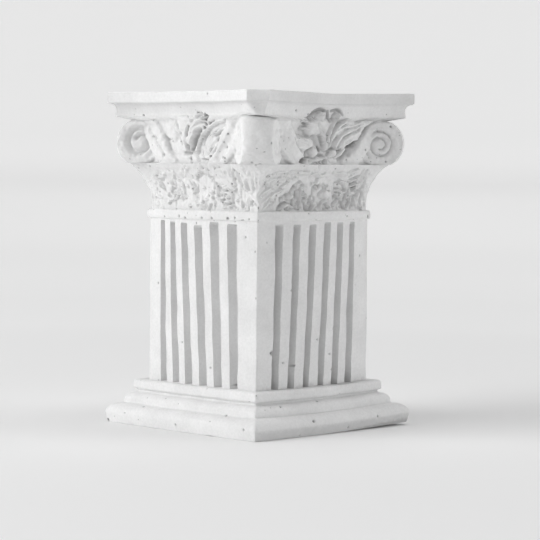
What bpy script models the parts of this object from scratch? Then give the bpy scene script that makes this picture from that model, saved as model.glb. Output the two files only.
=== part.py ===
"""Display pedestal: one solid plaster casting in the shape of a short square Corinthian column.

Run with: blender --background --python part.py
Units are metres, +Z is up and the origin is the middle of the underside.

The four faces are alike, so one face is worked out and turned four times. A point on a face is
(s, out, z): s runs along the face from its middle, out is the distance from the column's middle
plane, and z is the height. The faces and the corners between them are laid out on one grid, which
is wrapped round the column, closed above and below, and thinned where it is flat.
"""

import math
from typing import NamedTuple

import bmesh
import bpy
import numpy as np

MM = 0.001
FACES = 4
DIAGONAL = math.sqrt(2.0)

# Height of each zone, from the underside up.
PLINTH_HEIGHT = 3.0 * MM
PLINTH_ROUND_HEIGHT = 3.0 * MM
STEP_HEIGHT = 1.1 * MM
STEP_ROUND_HEIGHT = 2.2 * MM
GROOVE_HEIGHT = 1.1 * MM
FILLET_HEIGHT = 2.7 * MM
SHAFT_HEIGHT = 49.3 * MM
BAND_HEIGHT = 2.7 * MM
BELL_HEIGHT = 13.7 * MM
VOLUTE_STOREY_HEIGHT = 13.9 * MM
CAVETTO_HEIGHT = 4.1 * MM
FASCIA_HEIGHT = 3.2 * MM

PLINTH_TOP = PLINTH_HEIGHT
PLINTH_ROUND_TOP = PLINTH_TOP + PLINTH_ROUND_HEIGHT
STEP_TOP = PLINTH_ROUND_TOP + STEP_HEIGHT
STEP_ROUND_TOP = STEP_TOP + STEP_ROUND_HEIGHT
GROOVE_TOP = STEP_ROUND_TOP + GROOVE_HEIGHT
SHAFT_FOOT = GROOVE_TOP + FILLET_HEIGHT
BAND_FOOT = SHAFT_FOOT + SHAFT_HEIGHT
BAND_TOP = BAND_FOOT + BAND_HEIGHT
BELL_TOP = BAND_TOP + BELL_HEIGHT
ABACUS_FOOT = BELL_TOP + VOLUTE_STOREY_HEIGHT
FASCIA_FOOT = ABACUS_FOOT + CAVETTO_HEIGHT
TOP = FASCIA_FOOT + FASCIA_HEIGHT

# Half of the shaft's width at its corners, and how far each zone stands out from the one named with it.
SHAFT_HALF = 23.4 * MM
FILLET_FROM_SHAFT = 3.4 * MM
GROOVE_FROM_FILLET = 0.9 * MM
STEP_FROM_GROOVE = 2.8 * MM
PLINTH_HEAD_FROM_STEP = 0.2 * MM
PLINTH_ROUND_REACH = 4.0 * MM
BAND_FROM_SHAFT = 0.7 * MM
BELL_FROM_BAND = 1.0 * MM
BELL_FLARE_REACH = 4.7 * MM
WALL_FROM_BELL_HEAD = 1.4 * MM
ABACUS_FROM_BELL_HEAD = 4.3 * MM
CAVETTO_REACH = 2.9 * MM
FASCIA_FROM_CAVETTO = 0.2 * MM

FILLET_HALF = SHAFT_HALF + FILLET_FROM_SHAFT
GROOVE_HALF = FILLET_HALF - GROOVE_FROM_FILLET
STEP_HALF = GROOVE_HALF + STEP_FROM_GROOVE
PLINTH_HEAD_HALF = STEP_HALF + PLINTH_HEAD_FROM_STEP
PLINTH_HALF = PLINTH_HEAD_HALF + PLINTH_ROUND_REACH
BAND_HALF = SHAFT_HALF + BAND_FROM_SHAFT
BELL_HALF = BAND_HALF - BELL_FROM_BAND
BELL_HEAD_HALF = BELL_HALF + BELL_FLARE_REACH
WALL_HALF = BELL_HEAD_HALF - WALL_FROM_BELL_HEAD
ABACUS_FOOT_HALF = BELL_HEAD_HALF + ABACUS_FROM_BELL_HEAD
FASCIA_HALF = ABACUS_FOOT_HALF + CAVETTO_REACH + FASCIA_FROM_CAVETTO

# How far the middle of a face stands out from its corners, because the soft mould swelled, or in.
PLINTH_SWELL = 0.4 * MM
STEP_SWELL = 0.9 * MM
FOOT_SWELL = 1.4 * MM
HEAD_SWELL = 3.6 * MM
BELL_SWELL = 1.6 * MM
WALL_SWELL = 0.8 * MM
CAVETTO_HOLLOW = 3.9 * MM
FASCIA_HOLLOW = 4.5 * MM

# Powers that shape the swell of a face, the hollow of the abacus and the flare of the bell.
SWELL_POWER = 2.0
HOLLOW_POWER = 3.0
FLARE_POWER = 2.7

# Half widths of the cut faces at the corners.
ARRIS = 0.4 * MM
HORN_FOOT_CUT = 1.4 * MM
HORN_CUT = 3.2 * MM

# Flutes: as many as fit between the corner margins.
FLUTE_PITCH = 6.2 * MM
FLUTE_FOOT_WIDTH = 2.8 * MM
FLUTE_HEAD_WIDTH = 3.1 * MM
FLUTE_SHIFT = -0.5 * MM
FLUTE_MARGIN = 5.0 * MM
FLUTE_DRAFT = 0.35 * MM
FLUTE_DEPTH = 2.0 * MM
FLUTE_GAP = 0.9 * MM
FLUTE_END = 0.5 * MM

# Volutes at the corners: flat drums whose sides are turned a little away from the diagonal.
VOLUTE_RADIUS = 6.8 * MM
VOLUTE_SINK = 0.5 * MM
VOLUTE_OVERHANG = 3.8 * MM
VOLUTE_HALF_WIDTH = 4.4 * MM
VOLUTE_TURN = math.radians(32.0)
VOLUTE_RIM_CROWN = 1.0 * MM
SPIRAL_BAND = 2.3 * MM
SPIRAL_PITCH = 2.0 * MM
SPIRAL_EYE = 0.7 * MM
SPIRAL_GROOVE = 1.3 * MM
SPIRAL_DEPTH = 1.0 * MM
SPIRAL_LAPS = 2

VOLUTE_MIDDLE = BELL_TOP + VOLUTE_RADIUS - VOLUTE_SINK
VOLUTE_REACH = DIAGONAL * BELL_HEAD_HALF + VOLUTE_OVERHANG
VOLUTE_EDGE_S = (VOLUTE_REACH - VOLUTE_HALF_WIDTH) / DIAGONAL
VOLUTE_EDGE_OUT = (VOLUTE_REACH + VOLUTE_HALF_WIDTH) / DIAGONAL

# Reach of the fullest carving from the wall, and the share of a stroke's half width that its vein takes.
CARVING_REACH = 4.2 * MM
VEIN_WIDTH = 0.3

# The grid before it is thinned, and the triangles that are kept.
CARVED_STEP = 0.45 * MM
STOREY_JOINT = 0.2 * MM
MARGIN_COLUMNS = 12
FLUTE_COLUMNS = 10
GAP_COLUMNS = 1
RIM_COLUMNS = 8
ROUND_ROWS = 7
SHAFT_ROWS = 8
CURVE_STEPS = 10
SEAM_WELD = 0.002 * MM
TRIANGLES = 9400

PLASTER_COLOUR = (0.80, 0.80, 0.79, 1.0)
PLASTER_ROUGHNESS = 0.85


class Level(NamedTuple):
    """One ring of the grid: its height, its half width at the corners, its swell and its corner cut."""

    z: float
    half: float
    swell: float
    cut: float = ARRIS
    power: float = SWELL_POWER


class Stroke(NamedTuple):
    """A rounded stroke of carving in shares of its storey: three points, half widths and rises."""

    root: tuple
    bend: tuple
    tip: tuple
    widths: tuple
    rises: tuple
    vein: float = 0.0
    fullness: float = 2.0


class Knob(NamedTuple):
    """A round boss or, with a negative rise, a sunk hole, in shares of its storey."""

    place: tuple
    radius: float
    rise: float


class Storey(NamedTuple):
    """One storey of carving: its heights, the wall it stands on, how far up it reaches, and its shapes."""

    foot: float
    head: float
    reach_top: float
    half: float
    strokes: tuple
    knobs: tuple


def mirrored(strokes):
    """The strokes and their mirror images in the face's middle line."""
    turned = [
        stroke._replace(
            root=(-stroke.root[0], stroke.root[1]),
            bend=(-stroke.bend[0], stroke.bend[1]),
            tip=(-stroke.tip[0], stroke.tip[1]),
        )
        for stroke in strokes
    ]
    return tuple(strokes) + tuple(turned)


# Upper storey: the palmette's fronds and side leaves, its calyx, and the stems of the volutes.
PALMETTE = mirrored([
    Stroke((0.00, 0.45), (0.02, 0.85), (0.10, 1.12), (0.03, 0.07), (0.40, 0.95), 0.20),
    Stroke((0.03, 0.50), (0.09, 0.90), (0.23, 1.00), (0.03, 0.04), (0.45, 0.80)),
    Stroke((0.06, 0.55), (0.13, 0.88), (0.30, 0.92), (0.03, 0.04), (0.40, 0.70)),
    Stroke((0.09, 0.58), (0.18, 0.80), (0.36, 0.83), (0.03, 0.04), (0.40, 0.60)),
    Stroke((0.12, 0.38), (0.18, 0.76), (0.58, 0.94), (0.04, 0.05), (0.40, 0.60), 0.20),
    Stroke((0.16, 0.42), (0.27, 0.70), (0.52, 0.80), (0.04, 0.05), (0.35, 0.50)),
    Stroke((0.18, 0.38), (0.31, 0.60), (0.50, 0.66), (0.04, 0.06), (0.30, 0.40)),
    Stroke((0.18, 0.26), (0.30, 0.42), (0.44, 0.50), (0.05, 0.06), (0.25, 0.25)),
    Stroke((0.05, 0.34), (0.24, 0.22), (0.16, 0.42), (0.04, 0.05), (0.40, 0.60)),
    Stroke((0.02, 0.05), (0.18, 0.24), (0.36, 0.12), (0.06, 0.04), (0.35, 0.35)),
])
STEMS = mirrored([
    Stroke((0.32, 0.12), (0.50, 0.30), (0.66, 0.90), (0.07, 0.11), (0.28, 0.36), 0.0, 5.0),
    Stroke((0.44, 0.12), (0.58, 0.30), (0.70, 0.62), (0.08, 0.15), (0.26, 0.34), 0.0, 5.0),
])
UPPER_KNOBS = (
    Knob((0.0, 0.25), 0.05, -0.20),
    Knob((0.03, 0.03), 0.05, 0.35),
)

# Lower storey: corner leaves, sprays, rosettes and a roll under the joint, round a middle ball.
CORNER_LEAVES = mirrored([
    Stroke((0.99, 0.02), (0.97, 0.50), (1.06, 0.98), (0.05, 0.06), (0.20, 0.30)),
    Stroke((0.87, 0.02), (0.86, 0.50), (0.97, 0.94), (0.05, 0.06), (0.32, 0.36)),
    Stroke((0.76, 0.02), (0.74, 0.45), (0.88, 0.84), (0.05, 0.05), (0.34, 0.40)),
])
SPRAYS = mirrored([
    Stroke((0.56, 0.58), (0.64, 0.86), (0.82, 0.90), (0.05, 0.04), (0.34, 0.42)),
    Stroke((0.54, 0.44), (0.64, 0.68), (0.78, 0.68), (0.05, 0.04), (0.40, 0.46)),
    Stroke((0.54, 0.26), (0.62, 0.50), (0.74, 0.44), (0.05, 0.04), (0.38, 0.42)),
    Stroke((0.52, 0.06), (0.60, 0.26), (0.72, 0.18), (0.05, 0.05), (0.34, 0.36)),
    Stroke((0.24, 0.52), (0.30, 0.78), (0.44, 0.62), (0.06, 0.05), (0.40, 0.45)),
    Stroke((0.46, 0.62), (0.46, 0.40), (0.34, 0.34), (0.05, 0.06), (0.42, 0.42)),
    Stroke((0.20, 0.40), (0.26, 0.50), (0.36, 0.46), (0.05, 0.05), (0.36, 0.40)),
    Stroke((0.20, 0.12), (0.30, 0.30), (0.44, 0.12), (0.05, 0.05), (0.34, 0.34)),
    Stroke((0.12, 0.88), (0.32, 0.88), (0.54, 0.88), (0.08, 0.08), (0.30, 0.30), 0.0, 3.0),
])
LOWER_KNOBS = (
    Knob((0.0, 0.42), 0.11, 0.55),
    Knob((-0.12, 0.15), 0.06, 0.35),
    Knob((0.28, 0.13), 0.06, 0.35),
    Knob((-0.62, 0.34), 0.08, 0.45),
    Knob((0.04, 0.05), 0.05, -0.30),
    Knob((-0.14, 0.62), 0.06, -0.30),
)


def quarter_round(low, high, head, reach, low_swell, high_swell):
    """Levels of a convex quarter round that narrows by its reach up to the head's half width."""
    levels = []
    for step in range(ROUND_ROWS + 1):
        angle = 0.5 * math.pi * step / ROUND_ROWS
        share = math.sin(angle)
        half = head + reach * math.cos(angle)
        swell = low_swell + (high_swell - low_swell) * share
        levels.append(Level(low + (high - low) * share, half, swell))
    return levels


def base_levels():
    """Plinth, two rounds, groove and fillet, up to the flat on which the shaft stands."""
    levels = [Level(0.0, PLINTH_HALF, PLINTH_SWELL)]
    levels += quarter_round(
        PLINTH_TOP, PLINTH_ROUND_TOP, PLINTH_HEAD_HALF, PLINTH_ROUND_REACH, PLINTH_SWELL, STEP_SWELL
    )
    levels.append(Level(PLINTH_ROUND_TOP, STEP_HALF, STEP_SWELL))
    levels += quarter_round(
        STEP_TOP, STEP_ROUND_TOP, GROOVE_HALF, STEP_FROM_GROOVE, STEP_SWELL, STEP_SWELL
    )
    levels.append(Level(0.5 * (STEP_ROUND_TOP + GROOVE_TOP), GROOVE_HALF, STEP_SWELL))
    levels.append(Level(GROOVE_TOP, FILLET_HALF, STEP_SWELL))
    levels.append(Level(SHAFT_FOOT, FILLET_HALF, STEP_SWELL))
    return levels


def flute_levels():
    """The part of the shaft that holds the flutes, and the share of their depth at each level."""
    head = BAND_FOOT - FLUTE_GAP
    levels = []
    for step in range(SHAFT_ROWS + 1):
        share = step / SHAFT_ROWS
        z = SHAFT_FOOT + (head - FLUTE_END - SHAFT_FOOT) * share
        swell = FOOT_SWELL + (HEAD_SWELL - FOOT_SWELL) * share
        levels.append((Level(z, SHAFT_HALF, swell), 1.0))
    levels.append((Level(head, SHAFT_HALF, HEAD_SWELL), 0.0))
    return levels


def band_levels():
    """The plain top of the shaft and the band above it."""
    return [
        Level(BAND_FOOT, SHAFT_HALF, HEAD_SWELL),
        Level(BAND_FOOT, BAND_HALF, HEAD_SWELL),
        Level(BAND_TOP, BAND_HALF, HEAD_SWELL),
    ]


def bell_levels():
    """The bell from the band to the joint under the volutes, flaring outwards like a leaf."""
    levels = []
    count = round(BELL_HEIGHT / CARVED_STEP)
    for step in range(count + 1):
        share = step / count
        half = BELL_HALF + BELL_FLARE_REACH * share ** FLARE_POWER
        swell = BELL_SWELL + (WALL_SWELL - BELL_SWELL) * share
        levels.append(Level(BAND_TOP + BELL_HEIGHT * share, half, swell))
    return levels


def volute_edge(z):
    """Where the side of a volute meets its rim at this height, as (s, out)."""
    rise = min(abs(z - VOLUTE_MIDDLE), VOLUTE_RADIUS)
    back = VOLUTE_RADIUS - math.sqrt(VOLUTE_RADIUS ** 2 - rise ** 2)
    return VOLUTE_EDGE_S - back * math.cos(VOLUTE_TURN), VOLUTE_EDGE_OUT - back * math.sin(VOLUTE_TURN)


def volute_levels():
    """The storey between the bell and the abacus, whose corners are the volutes' rims."""
    foot = BELL_TOP + STOREY_JOINT
    head = min(VOLUTE_MIDDLE + VOLUTE_RADIUS, ABACUS_FOOT) - CARVED_STEP
    count = max(2, round((head - foot) / CARVED_STEP))
    levels = []
    for step in range(count + 1):
        z = foot + (head - foot) * step / count
        edge_s, edge_out = volute_edge(z)
        levels.append(Level(z, edge_out, WALL_SWELL, (edge_out - edge_s) / DIAGONAL))
    return levels


def abacus_levels():
    """The hollow-sided slab on top: a concave moulding below a plain fascia with cut horns."""
    count = round(CAVETTO_HEIGHT / CARVED_STEP)
    levels = []
    for step in range(count + 1):
        share = step / count
        flare = 1.0 - math.sqrt(1.0 - share ** 2)
        z = ABACUS_FOOT + CAVETTO_HEIGHT * share
        half = ABACUS_FOOT_HALF + CAVETTO_REACH * flare
        hollow = CAVETTO_HOLLOW + (FASCIA_HOLLOW - CAVETTO_HOLLOW) * flare
        cut = HORN_FOOT_CUT + (HORN_CUT - HORN_FOOT_CUT) * share
        levels.append(Level(z, half, -hollow, cut, HOLLOW_POWER))
    levels.append(Level(FASCIA_FOOT, FASCIA_HALF, -FASCIA_HOLLOW, HORN_CUT, HOLLOW_POWER))
    levels.append(Level(TOP, FASCIA_HALF, -FASCIA_HOLLOW, HORN_CUT, HOLLOW_POWER))
    return levels


def flute_middles():
    """The middles of the flutes along a face: as many as fit between its margins."""
    room = 2.0 * (SHAFT_HALF - FLUTE_MARGIN) - FLUTE_HEAD_WIDTH
    count = max(1, int(room / FLUTE_PITCH) + 1)
    return [FLUTE_SHIFT + (index - 0.5 * (count - 1)) * FLUTE_PITCH for index in range(count)]


def fluted_columns(middles, half, width):
    """The s of each column at a fluted level, and which of them lie on a flute's floor."""
    places = []
    floors = []
    left = -half
    for middle in middles:
        edge = middle - 0.5 * width
        steps = MARGIN_COLUMNS if left == -half else GAP_COLUMNS
        places += list(np.linspace(left, edge, steps, endpoint=False)) + [edge]
        floors += [0.0] * (steps + 1)
        inset = 0.5 * width - FLUTE_DRAFT
        places += list(np.linspace(middle - inset, middle + inset, FLUTE_COLUMNS))
        floors += [1.0] * FLUTE_COLUMNS
        left = middle + 0.5 * width
    places += list(np.linspace(left, half, MARGIN_COLUMNS))
    floors += [0.0] * MARGIN_COLUMNS
    return np.array(places), np.array(floors)


def curve_points(stroke):
    """Points along a stroke's curve, in shares."""
    steps = np.linspace(0.0, 1.0, CURVE_STEPS + 1)[:, None]
    root, bend, tip = (np.array(point) for point in (stroke.root, stroke.bend, stroke.tip))
    return (1.0 - steps) ** 2 * root + 2.0 * steps * (1.0 - steps) * bend + steps ** 2 * tip


def stroke_rise(stroke, across, up, slant):
    """How far a stroke stands out at points given in shares, and 0 outside it."""
    points = curve_points(stroke)
    nearest = np.full(across.shape, np.inf)
    along = np.zeros(across.shape)
    for step in range(CURVE_STEPS):
        start = points[step] * (1.0, slant)
        run = points[step + 1] * (1.0, slant) - start
        share = ((across - start[0]) * run[0] + (up - start[1]) * run[1]) / (run @ run)
        share = np.clip(share, 0.0, 1.0)
        distance = np.hypot(across - start[0] - share * run[0], up - start[1] - share * run[1])
        closer = distance < nearest
        nearest = np.where(closer, distance, nearest)
        along = np.where(closer, (step + share) / CURVE_STEPS, along)
    width = stroke.widths[0] + (stroke.widths[1] - stroke.widths[0]) * along
    ratio = np.minimum(nearest / width, 1.0)
    rise = stroke.rises[0] + (stroke.rises[1] - stroke.rises[0]) * along
    vein = stroke.vein * np.exp(-((ratio / VEIN_WIDTH) ** 2))
    return rise * (np.sqrt(1.0 - ratio ** stroke.fullness) - vein)


def carving(storey, s, z):
    """How far the storey's carving stands out from its wall at each point, and the depth of its holes."""
    across = s / storey.half
    up = (z - storey.foot) / storey.half
    slant = (storey.head - storey.foot) / storey.half
    rise = np.zeros(s.shape)
    sunk = np.zeros(s.shape)
    for stroke in storey.strokes:
        rise = np.maximum(rise, stroke_rise(stroke, across, up, slant))
    for knob in storey.knobs:
        distance = np.hypot(across - knob.place[0], up - knob.place[1] * slant)
        dome = knob.rise * np.sqrt(1.0 - np.minimum(distance / knob.radius, 1.0) ** 2)
        rise = np.maximum(rise, dome)
        sunk = np.minimum(sunk, dome)
    return CARVING_REACH * rise, CARVING_REACH * sunk


def spiral_depth(from_middle, up):
    """How deep the spiral groove is cut at each point on a volute's side, as a share."""
    radius = np.hypot(from_middle, up)
    turn = np.arctan2(up, -from_middle) / (2.0 * math.pi) % 1.0
    depth = np.zeros(radius.shape)
    for lap in range(SPIRAL_LAPS):
        middle = VOLUTE_RADIUS - SPIRAL_BAND - SPIRAL_PITCH * (turn + lap)
        inside = np.clip(1.0 - np.abs(radius - middle) / (0.5 * SPIRAL_GROOVE), 0.0, 1.0)
        depth = np.maximum(depth, np.where(middle > SPIRAL_EYE, inside, 0.0))
    return depth


def volute_side(s, z):
    """The out of a volute's side at each point, and 0 off it."""
    from_edge = (VOLUTE_EDGE_S - np.abs(s)) / math.cos(VOLUTE_TURN)
    from_middle = VOLUTE_RADIUS - from_edge
    up = z - VOLUTE_MIDDLE
    out = VOLUTE_EDGE_OUT - from_edge * math.sin(VOLUTE_TURN) - SPIRAL_DEPTH * spiral_depth(from_middle, up)
    return np.where(np.hypot(from_middle, up) <= VOLUTE_RADIUS + SEAM_WELD, out, 0.0)


def bowed_face(level, s):
    """The out of a plain face at each s."""
    half = level.half - DIAGONAL * level.cut
    return level.half + level.swell * (1.0 - np.abs(s / half) ** level.power)


def carved_face(level, s, storey):
    """The out of a face that carries the storey's carving."""
    half = level.half - DIAGONAL * level.cut
    z = np.full(s.shape, level.z)
    out = bowed_face(level, s)
    wall = out
    if BELL_TOP < level.z < ABACUS_FOOT:
        wall = bowed_face(level._replace(half=WALL_HALF + DIAGONAL * level.cut), s * WALL_HALF / half)
        wall = wall - DIAGONAL * level.cut
        out = np.maximum(wall, volute_side(s, z))
    if level.z > storey.head:
        wall = np.full(s.shape, WALL_HALF)
    rise, sunk = carving(storey, s, z)
    fade = np.clip((half - np.abs(s)) / ARRIS, 0.0, 1.0)
    return np.maximum(out, np.where(rise > 0.0, wall + rise * fade, 0.0)) + sunk * fade


def ring_points(level, s, out):
    """A level's whole ring of points, face by face, with the corner rims between them."""
    rim = np.linspace(-1.0, 1.0, RIM_COLUMNS + 1)[1:-1]
    middle = (s[-1] + out[-1]) / DIAGONAL
    across = (out[-1] - s[-1]) / DIAGONAL * rim
    crown = np.zeros(rim.shape)
    if BELL_TOP < level.z < ABACUS_FOOT:
        crown = VOLUTE_RIM_CROWN * (1.0 - rim ** 2)
    s = np.concatenate([s, (middle + crown + across) / DIAGONAL])
    out = np.concatenate([out, (middle + crown - across) / DIAGONAL])
    ring = []
    for face in range(FACES):
        angle = 2.0 * math.pi * face / FACES
        x = s * math.cos(angle) + out * math.sin(angle)
        y = s * math.sin(angle) - out * math.cos(angle)
        ring.append(np.stack([x, y, np.full(len(s), level.z)], axis=1))
    return np.concatenate(ring)


def plain_ring(level, columns):
    """The ring of a level without flutes or carving."""
    half = level.half - DIAGONAL * level.cut
    s = np.linspace(-half, half, columns)
    return ring_points(level, s, bowed_face(level, s))


def fluted_ring(level, depth, middles):
    """The ring of a level on the fluted shaft."""
    half = level.half - DIAGONAL * level.cut
    climb = (level.z - SHAFT_FOOT) / SHAFT_HEIGHT
    width = FLUTE_FOOT_WIDTH + (FLUTE_HEAD_WIDTH - FLUTE_FOOT_WIDTH) * climb
    s, floors = fluted_columns(middles, half, width)
    return ring_points(level, s, bowed_face(level, s) - FLUTE_DEPTH * depth * floors)


def carved_ring(level, columns, storey):
    """The ring of a level in a carved storey."""
    half = level.half - DIAGONAL * level.cut
    s = np.linspace(-half, half, columns)
    out = carved_face(level, s, storey)
    out[0] = level.half
    out[-1] = level.half
    return ring_points(level, s, out)


def all_rings():
    """Every ring of the casting, from the underside to the top."""
    bell = Storey(BAND_TOP, BELL_TOP, BELL_TOP, BELL_HALF, CORNER_LEAVES + SPRAYS, LOWER_KNOBS)
    leaf = Storey(BELL_TOP, ABACUS_FOOT, FASCIA_FOOT, WALL_HALF, PALMETTE + STEMS, UPPER_KNOBS)
    middles = flute_middles()
    fluted = [fluted_ring(level, depth, middles) for level, depth in flute_levels()]
    columns = len(fluted[0]) // FACES - RIM_COLUMNS + 1
    rings = [plain_ring(level, columns) for level in base_levels()]
    rings += fluted
    rings += [plain_ring(level, columns) for level in band_levels()]
    rings += [carved_ring(level, columns, bell) for level in bell_levels()]
    rings += [carved_ring(level, columns, leaf) for level in volute_levels()]
    for level in abacus_levels():
        carved = level.z < leaf.reach_top
        rings.append(carved_ring(level, columns, leaf) if carved else plain_ring(level, columns))
    return rings


def wrapped_mesh(rings):
    """A grid wrapped round the column through these rings, welded at its seam and capped."""
    columns = len(rings[0])
    mesh = bmesh.new()
    bmesh.ops.create_grid(mesh, x_segments=columns, y_segments=len(rings) - 1, size=1.0)
    mesh.verts.ensure_lookup_table()
    for index, vertex in enumerate(mesh.verts):
        row, column = divmod(index, columns + 1)
        vertex.co = rings[row][column % columns]
    bmesh.ops.remove_doubles(mesh, verts=mesh.verts, dist=SEAM_WELD)
    open_edges = [edge for edge in mesh.edges if edge.is_boundary]
    bmesh.ops.holes_fill(mesh, edges=open_edges, sides=0)
    bmesh.ops.triangulate(mesh, faces=mesh.faces)
    bmesh.ops.recalc_face_normals(mesh, faces=mesh.faces)
    return mesh


def plaster():
    """White matt plaster."""
    material = bpy.data.materials.new("plaster")
    material.use_nodes = True
    shader = material.node_tree.nodes["Principled BSDF"]
    shader.inputs["Base Color"].default_value = PLASTER_COLOUR
    shader.inputs["Roughness"].default_value = PLASTER_ROUGHNESS
    return material


def build_pedestal():
    """The whole casting as one closed object."""
    mesh = wrapped_mesh(all_rings())
    data = bpy.data.meshes.new("pedestal")
    mesh.to_mesh(data)
    mesh.free()
    data.materials.append(plaster())
    pedestal = bpy.data.objects.new("pedestal", data)
    bpy.context.scene.collection.objects.link(pedestal)
    thin = pedestal.modifiers.new("thin flat areas", "DECIMATE")
    thin.ratio = min(1.0, TRIANGLES / len(data.polygons))
    return pedestal


def main():
    """Clear the scene and build the pedestal."""
    for item in list(bpy.data.objects):
        bpy.data.objects.remove(item, do_unlink=True)
    build_pedestal()


main()
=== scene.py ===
"""Display pedestal: the carved plaster casting, its finish, and the plain studio round it.

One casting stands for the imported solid. It is worked out in millimetres, face by face, and made in
metres. A point on a face is (s, out, z): s runs along the face from its middle, out is the distance
from the column's middle plane, and z is the height.
"""

import logging
import math
from dataclasses import dataclass, field, replace
from enum import Enum
from typing import NamedTuple

import bmesh
import bpy
import numpy as np
from mathutils import Matrix, Vector


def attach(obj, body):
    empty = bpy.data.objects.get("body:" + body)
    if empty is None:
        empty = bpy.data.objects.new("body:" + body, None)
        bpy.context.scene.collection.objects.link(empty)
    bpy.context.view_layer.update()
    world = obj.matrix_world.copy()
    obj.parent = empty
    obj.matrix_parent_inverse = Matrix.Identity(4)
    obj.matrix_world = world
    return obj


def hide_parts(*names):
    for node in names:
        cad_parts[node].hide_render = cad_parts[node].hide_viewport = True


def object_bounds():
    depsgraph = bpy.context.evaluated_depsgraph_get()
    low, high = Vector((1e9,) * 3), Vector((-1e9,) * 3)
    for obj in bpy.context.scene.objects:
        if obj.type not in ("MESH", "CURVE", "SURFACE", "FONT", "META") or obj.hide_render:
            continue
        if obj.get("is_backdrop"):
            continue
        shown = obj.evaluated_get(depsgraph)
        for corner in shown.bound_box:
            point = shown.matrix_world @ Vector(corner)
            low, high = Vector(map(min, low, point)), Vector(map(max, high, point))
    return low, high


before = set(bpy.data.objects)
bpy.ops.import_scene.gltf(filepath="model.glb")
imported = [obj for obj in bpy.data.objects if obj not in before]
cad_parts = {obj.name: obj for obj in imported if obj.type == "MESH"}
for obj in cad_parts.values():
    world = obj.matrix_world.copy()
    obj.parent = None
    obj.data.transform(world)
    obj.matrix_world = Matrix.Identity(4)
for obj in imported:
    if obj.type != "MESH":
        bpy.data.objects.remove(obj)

MM = 0.001
FACES = 4
DIAGONAL = math.sqrt(2.0)
TURN = 2.0 * math.pi
WELD = 1.0e-6
ARRIS_BULGE = 0.35
FLAT, STEEP, FLATTEST = 2.5, 3.0, 8.0
RIDGE_WIDTHS, RIDGE_RISES = (0.6, 1.0, 0.8), (0.6, 1.0, 0.9)
GOUGE_WIDTHS, GOUGE_DEPTHS = (0.7, 1.0, 0.7), (0.8, 1.0, 0.8)
RIDGE_TRENCH, BOSS_TRENCH = 0.35, 0.5
# Attributes that carry painted shade: in the burst bubbles, and in the hollows, cuts and shaded faces.
PITTED, HOLLOW = "pitted", "hollow"

log = logging.getLogger("pedestal")

Place = tuple[float, float]
Point = tuple[float, float, float]
Colour = tuple[float, float, float, float]


class Side(Enum):
    """The faces, by the quarter turns that bring the first face round to each."""

    RIGHT = 0
    BACK_RIGHT = 1
    BACK_LEFT = 2
    LEFT = 3

    @property
    def angle(self) -> float:
        """How far the first face is turned to come round to this one."""
        return TURN * self.value / FACES


class Cut(Enum):
    """Whether a stroke of carving stands out from its wall or is cut into it."""

    RAISED = "raised"
    SUNK = "sunk"


def smoothstep(values: np.ndarray) -> np.ndarray:
    """An even slope from 0 to 1."""
    share = np.clip(values, 0.0, 1.0)
    return share * share * (3.0 - 2.0 * share)


def between(values: np.ndarray, low: float, low_fade: float, high: float, high_fade: float) -> np.ndarray:
    """Which values lie between two limits, as a share that fades inside each limit.

    Args:
        values: the values.
        low: the lower limit.
        low_fade: over how much the share rises above it.
        high: the upper limit.
        high_fade: over how much the share falls below it.

    Returns:
        A share from 0 to 1 for each value.
    """
    return smoothstep((values - low) / low_fade) * smoothstep((high - values) / high_fade)


def softened(grid: np.ndarray) -> np.ndarray:
    """A grid of heights with its steps rubbed down a little.

    Args:
        grid: heights by row and column.

    Returns:
        A new grid of the same shape.
    """
    above = np.vstack([grid[:1], grid[:-1]])
    below = np.vstack([grid[1:], grid[-1:]])
    grid = 0.5 * grid + 0.25 * (above + below)
    inner = 0.5 * grid[:, 1:-1] + 0.25 * (grid[:, :-2] + grid[:, 2:])
    return np.hstack([grid[:, :1], inner, grid[:, -1:]])


def smooth_curve(points: tuple[Place, ...], samples: int = 6) -> np.ndarray:
    """Points on a smooth curve through the given places.

    Args:
        points: places as (s, z).
        samples: how many points are made for each span.

    Returns:
        The curve's points, one a row.
    """
    given = np.array(points, float)
    if len(given) == 1:
        return given
    held = np.vstack([2.0 * given[0] - given[1], given, 2.0 * given[-1] - given[-2]])
    share = np.linspace(0.0, 1.0, samples, endpoint=False)[:, None]
    spans = []
    for index in range(len(given) - 1):
        before, start, end, after = held[index:index + 4]
        bend = 2.0 * before - 5.0 * start + 4.0 * end - after
        twist = 3.0 * start - before - 3.0 * end + after
        spans.append(0.5 * (2.0 * start + (end - before) * share + bend * share ** 2 + twist * share ** 3))
    return np.vstack(spans + [given[-1:]])


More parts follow.
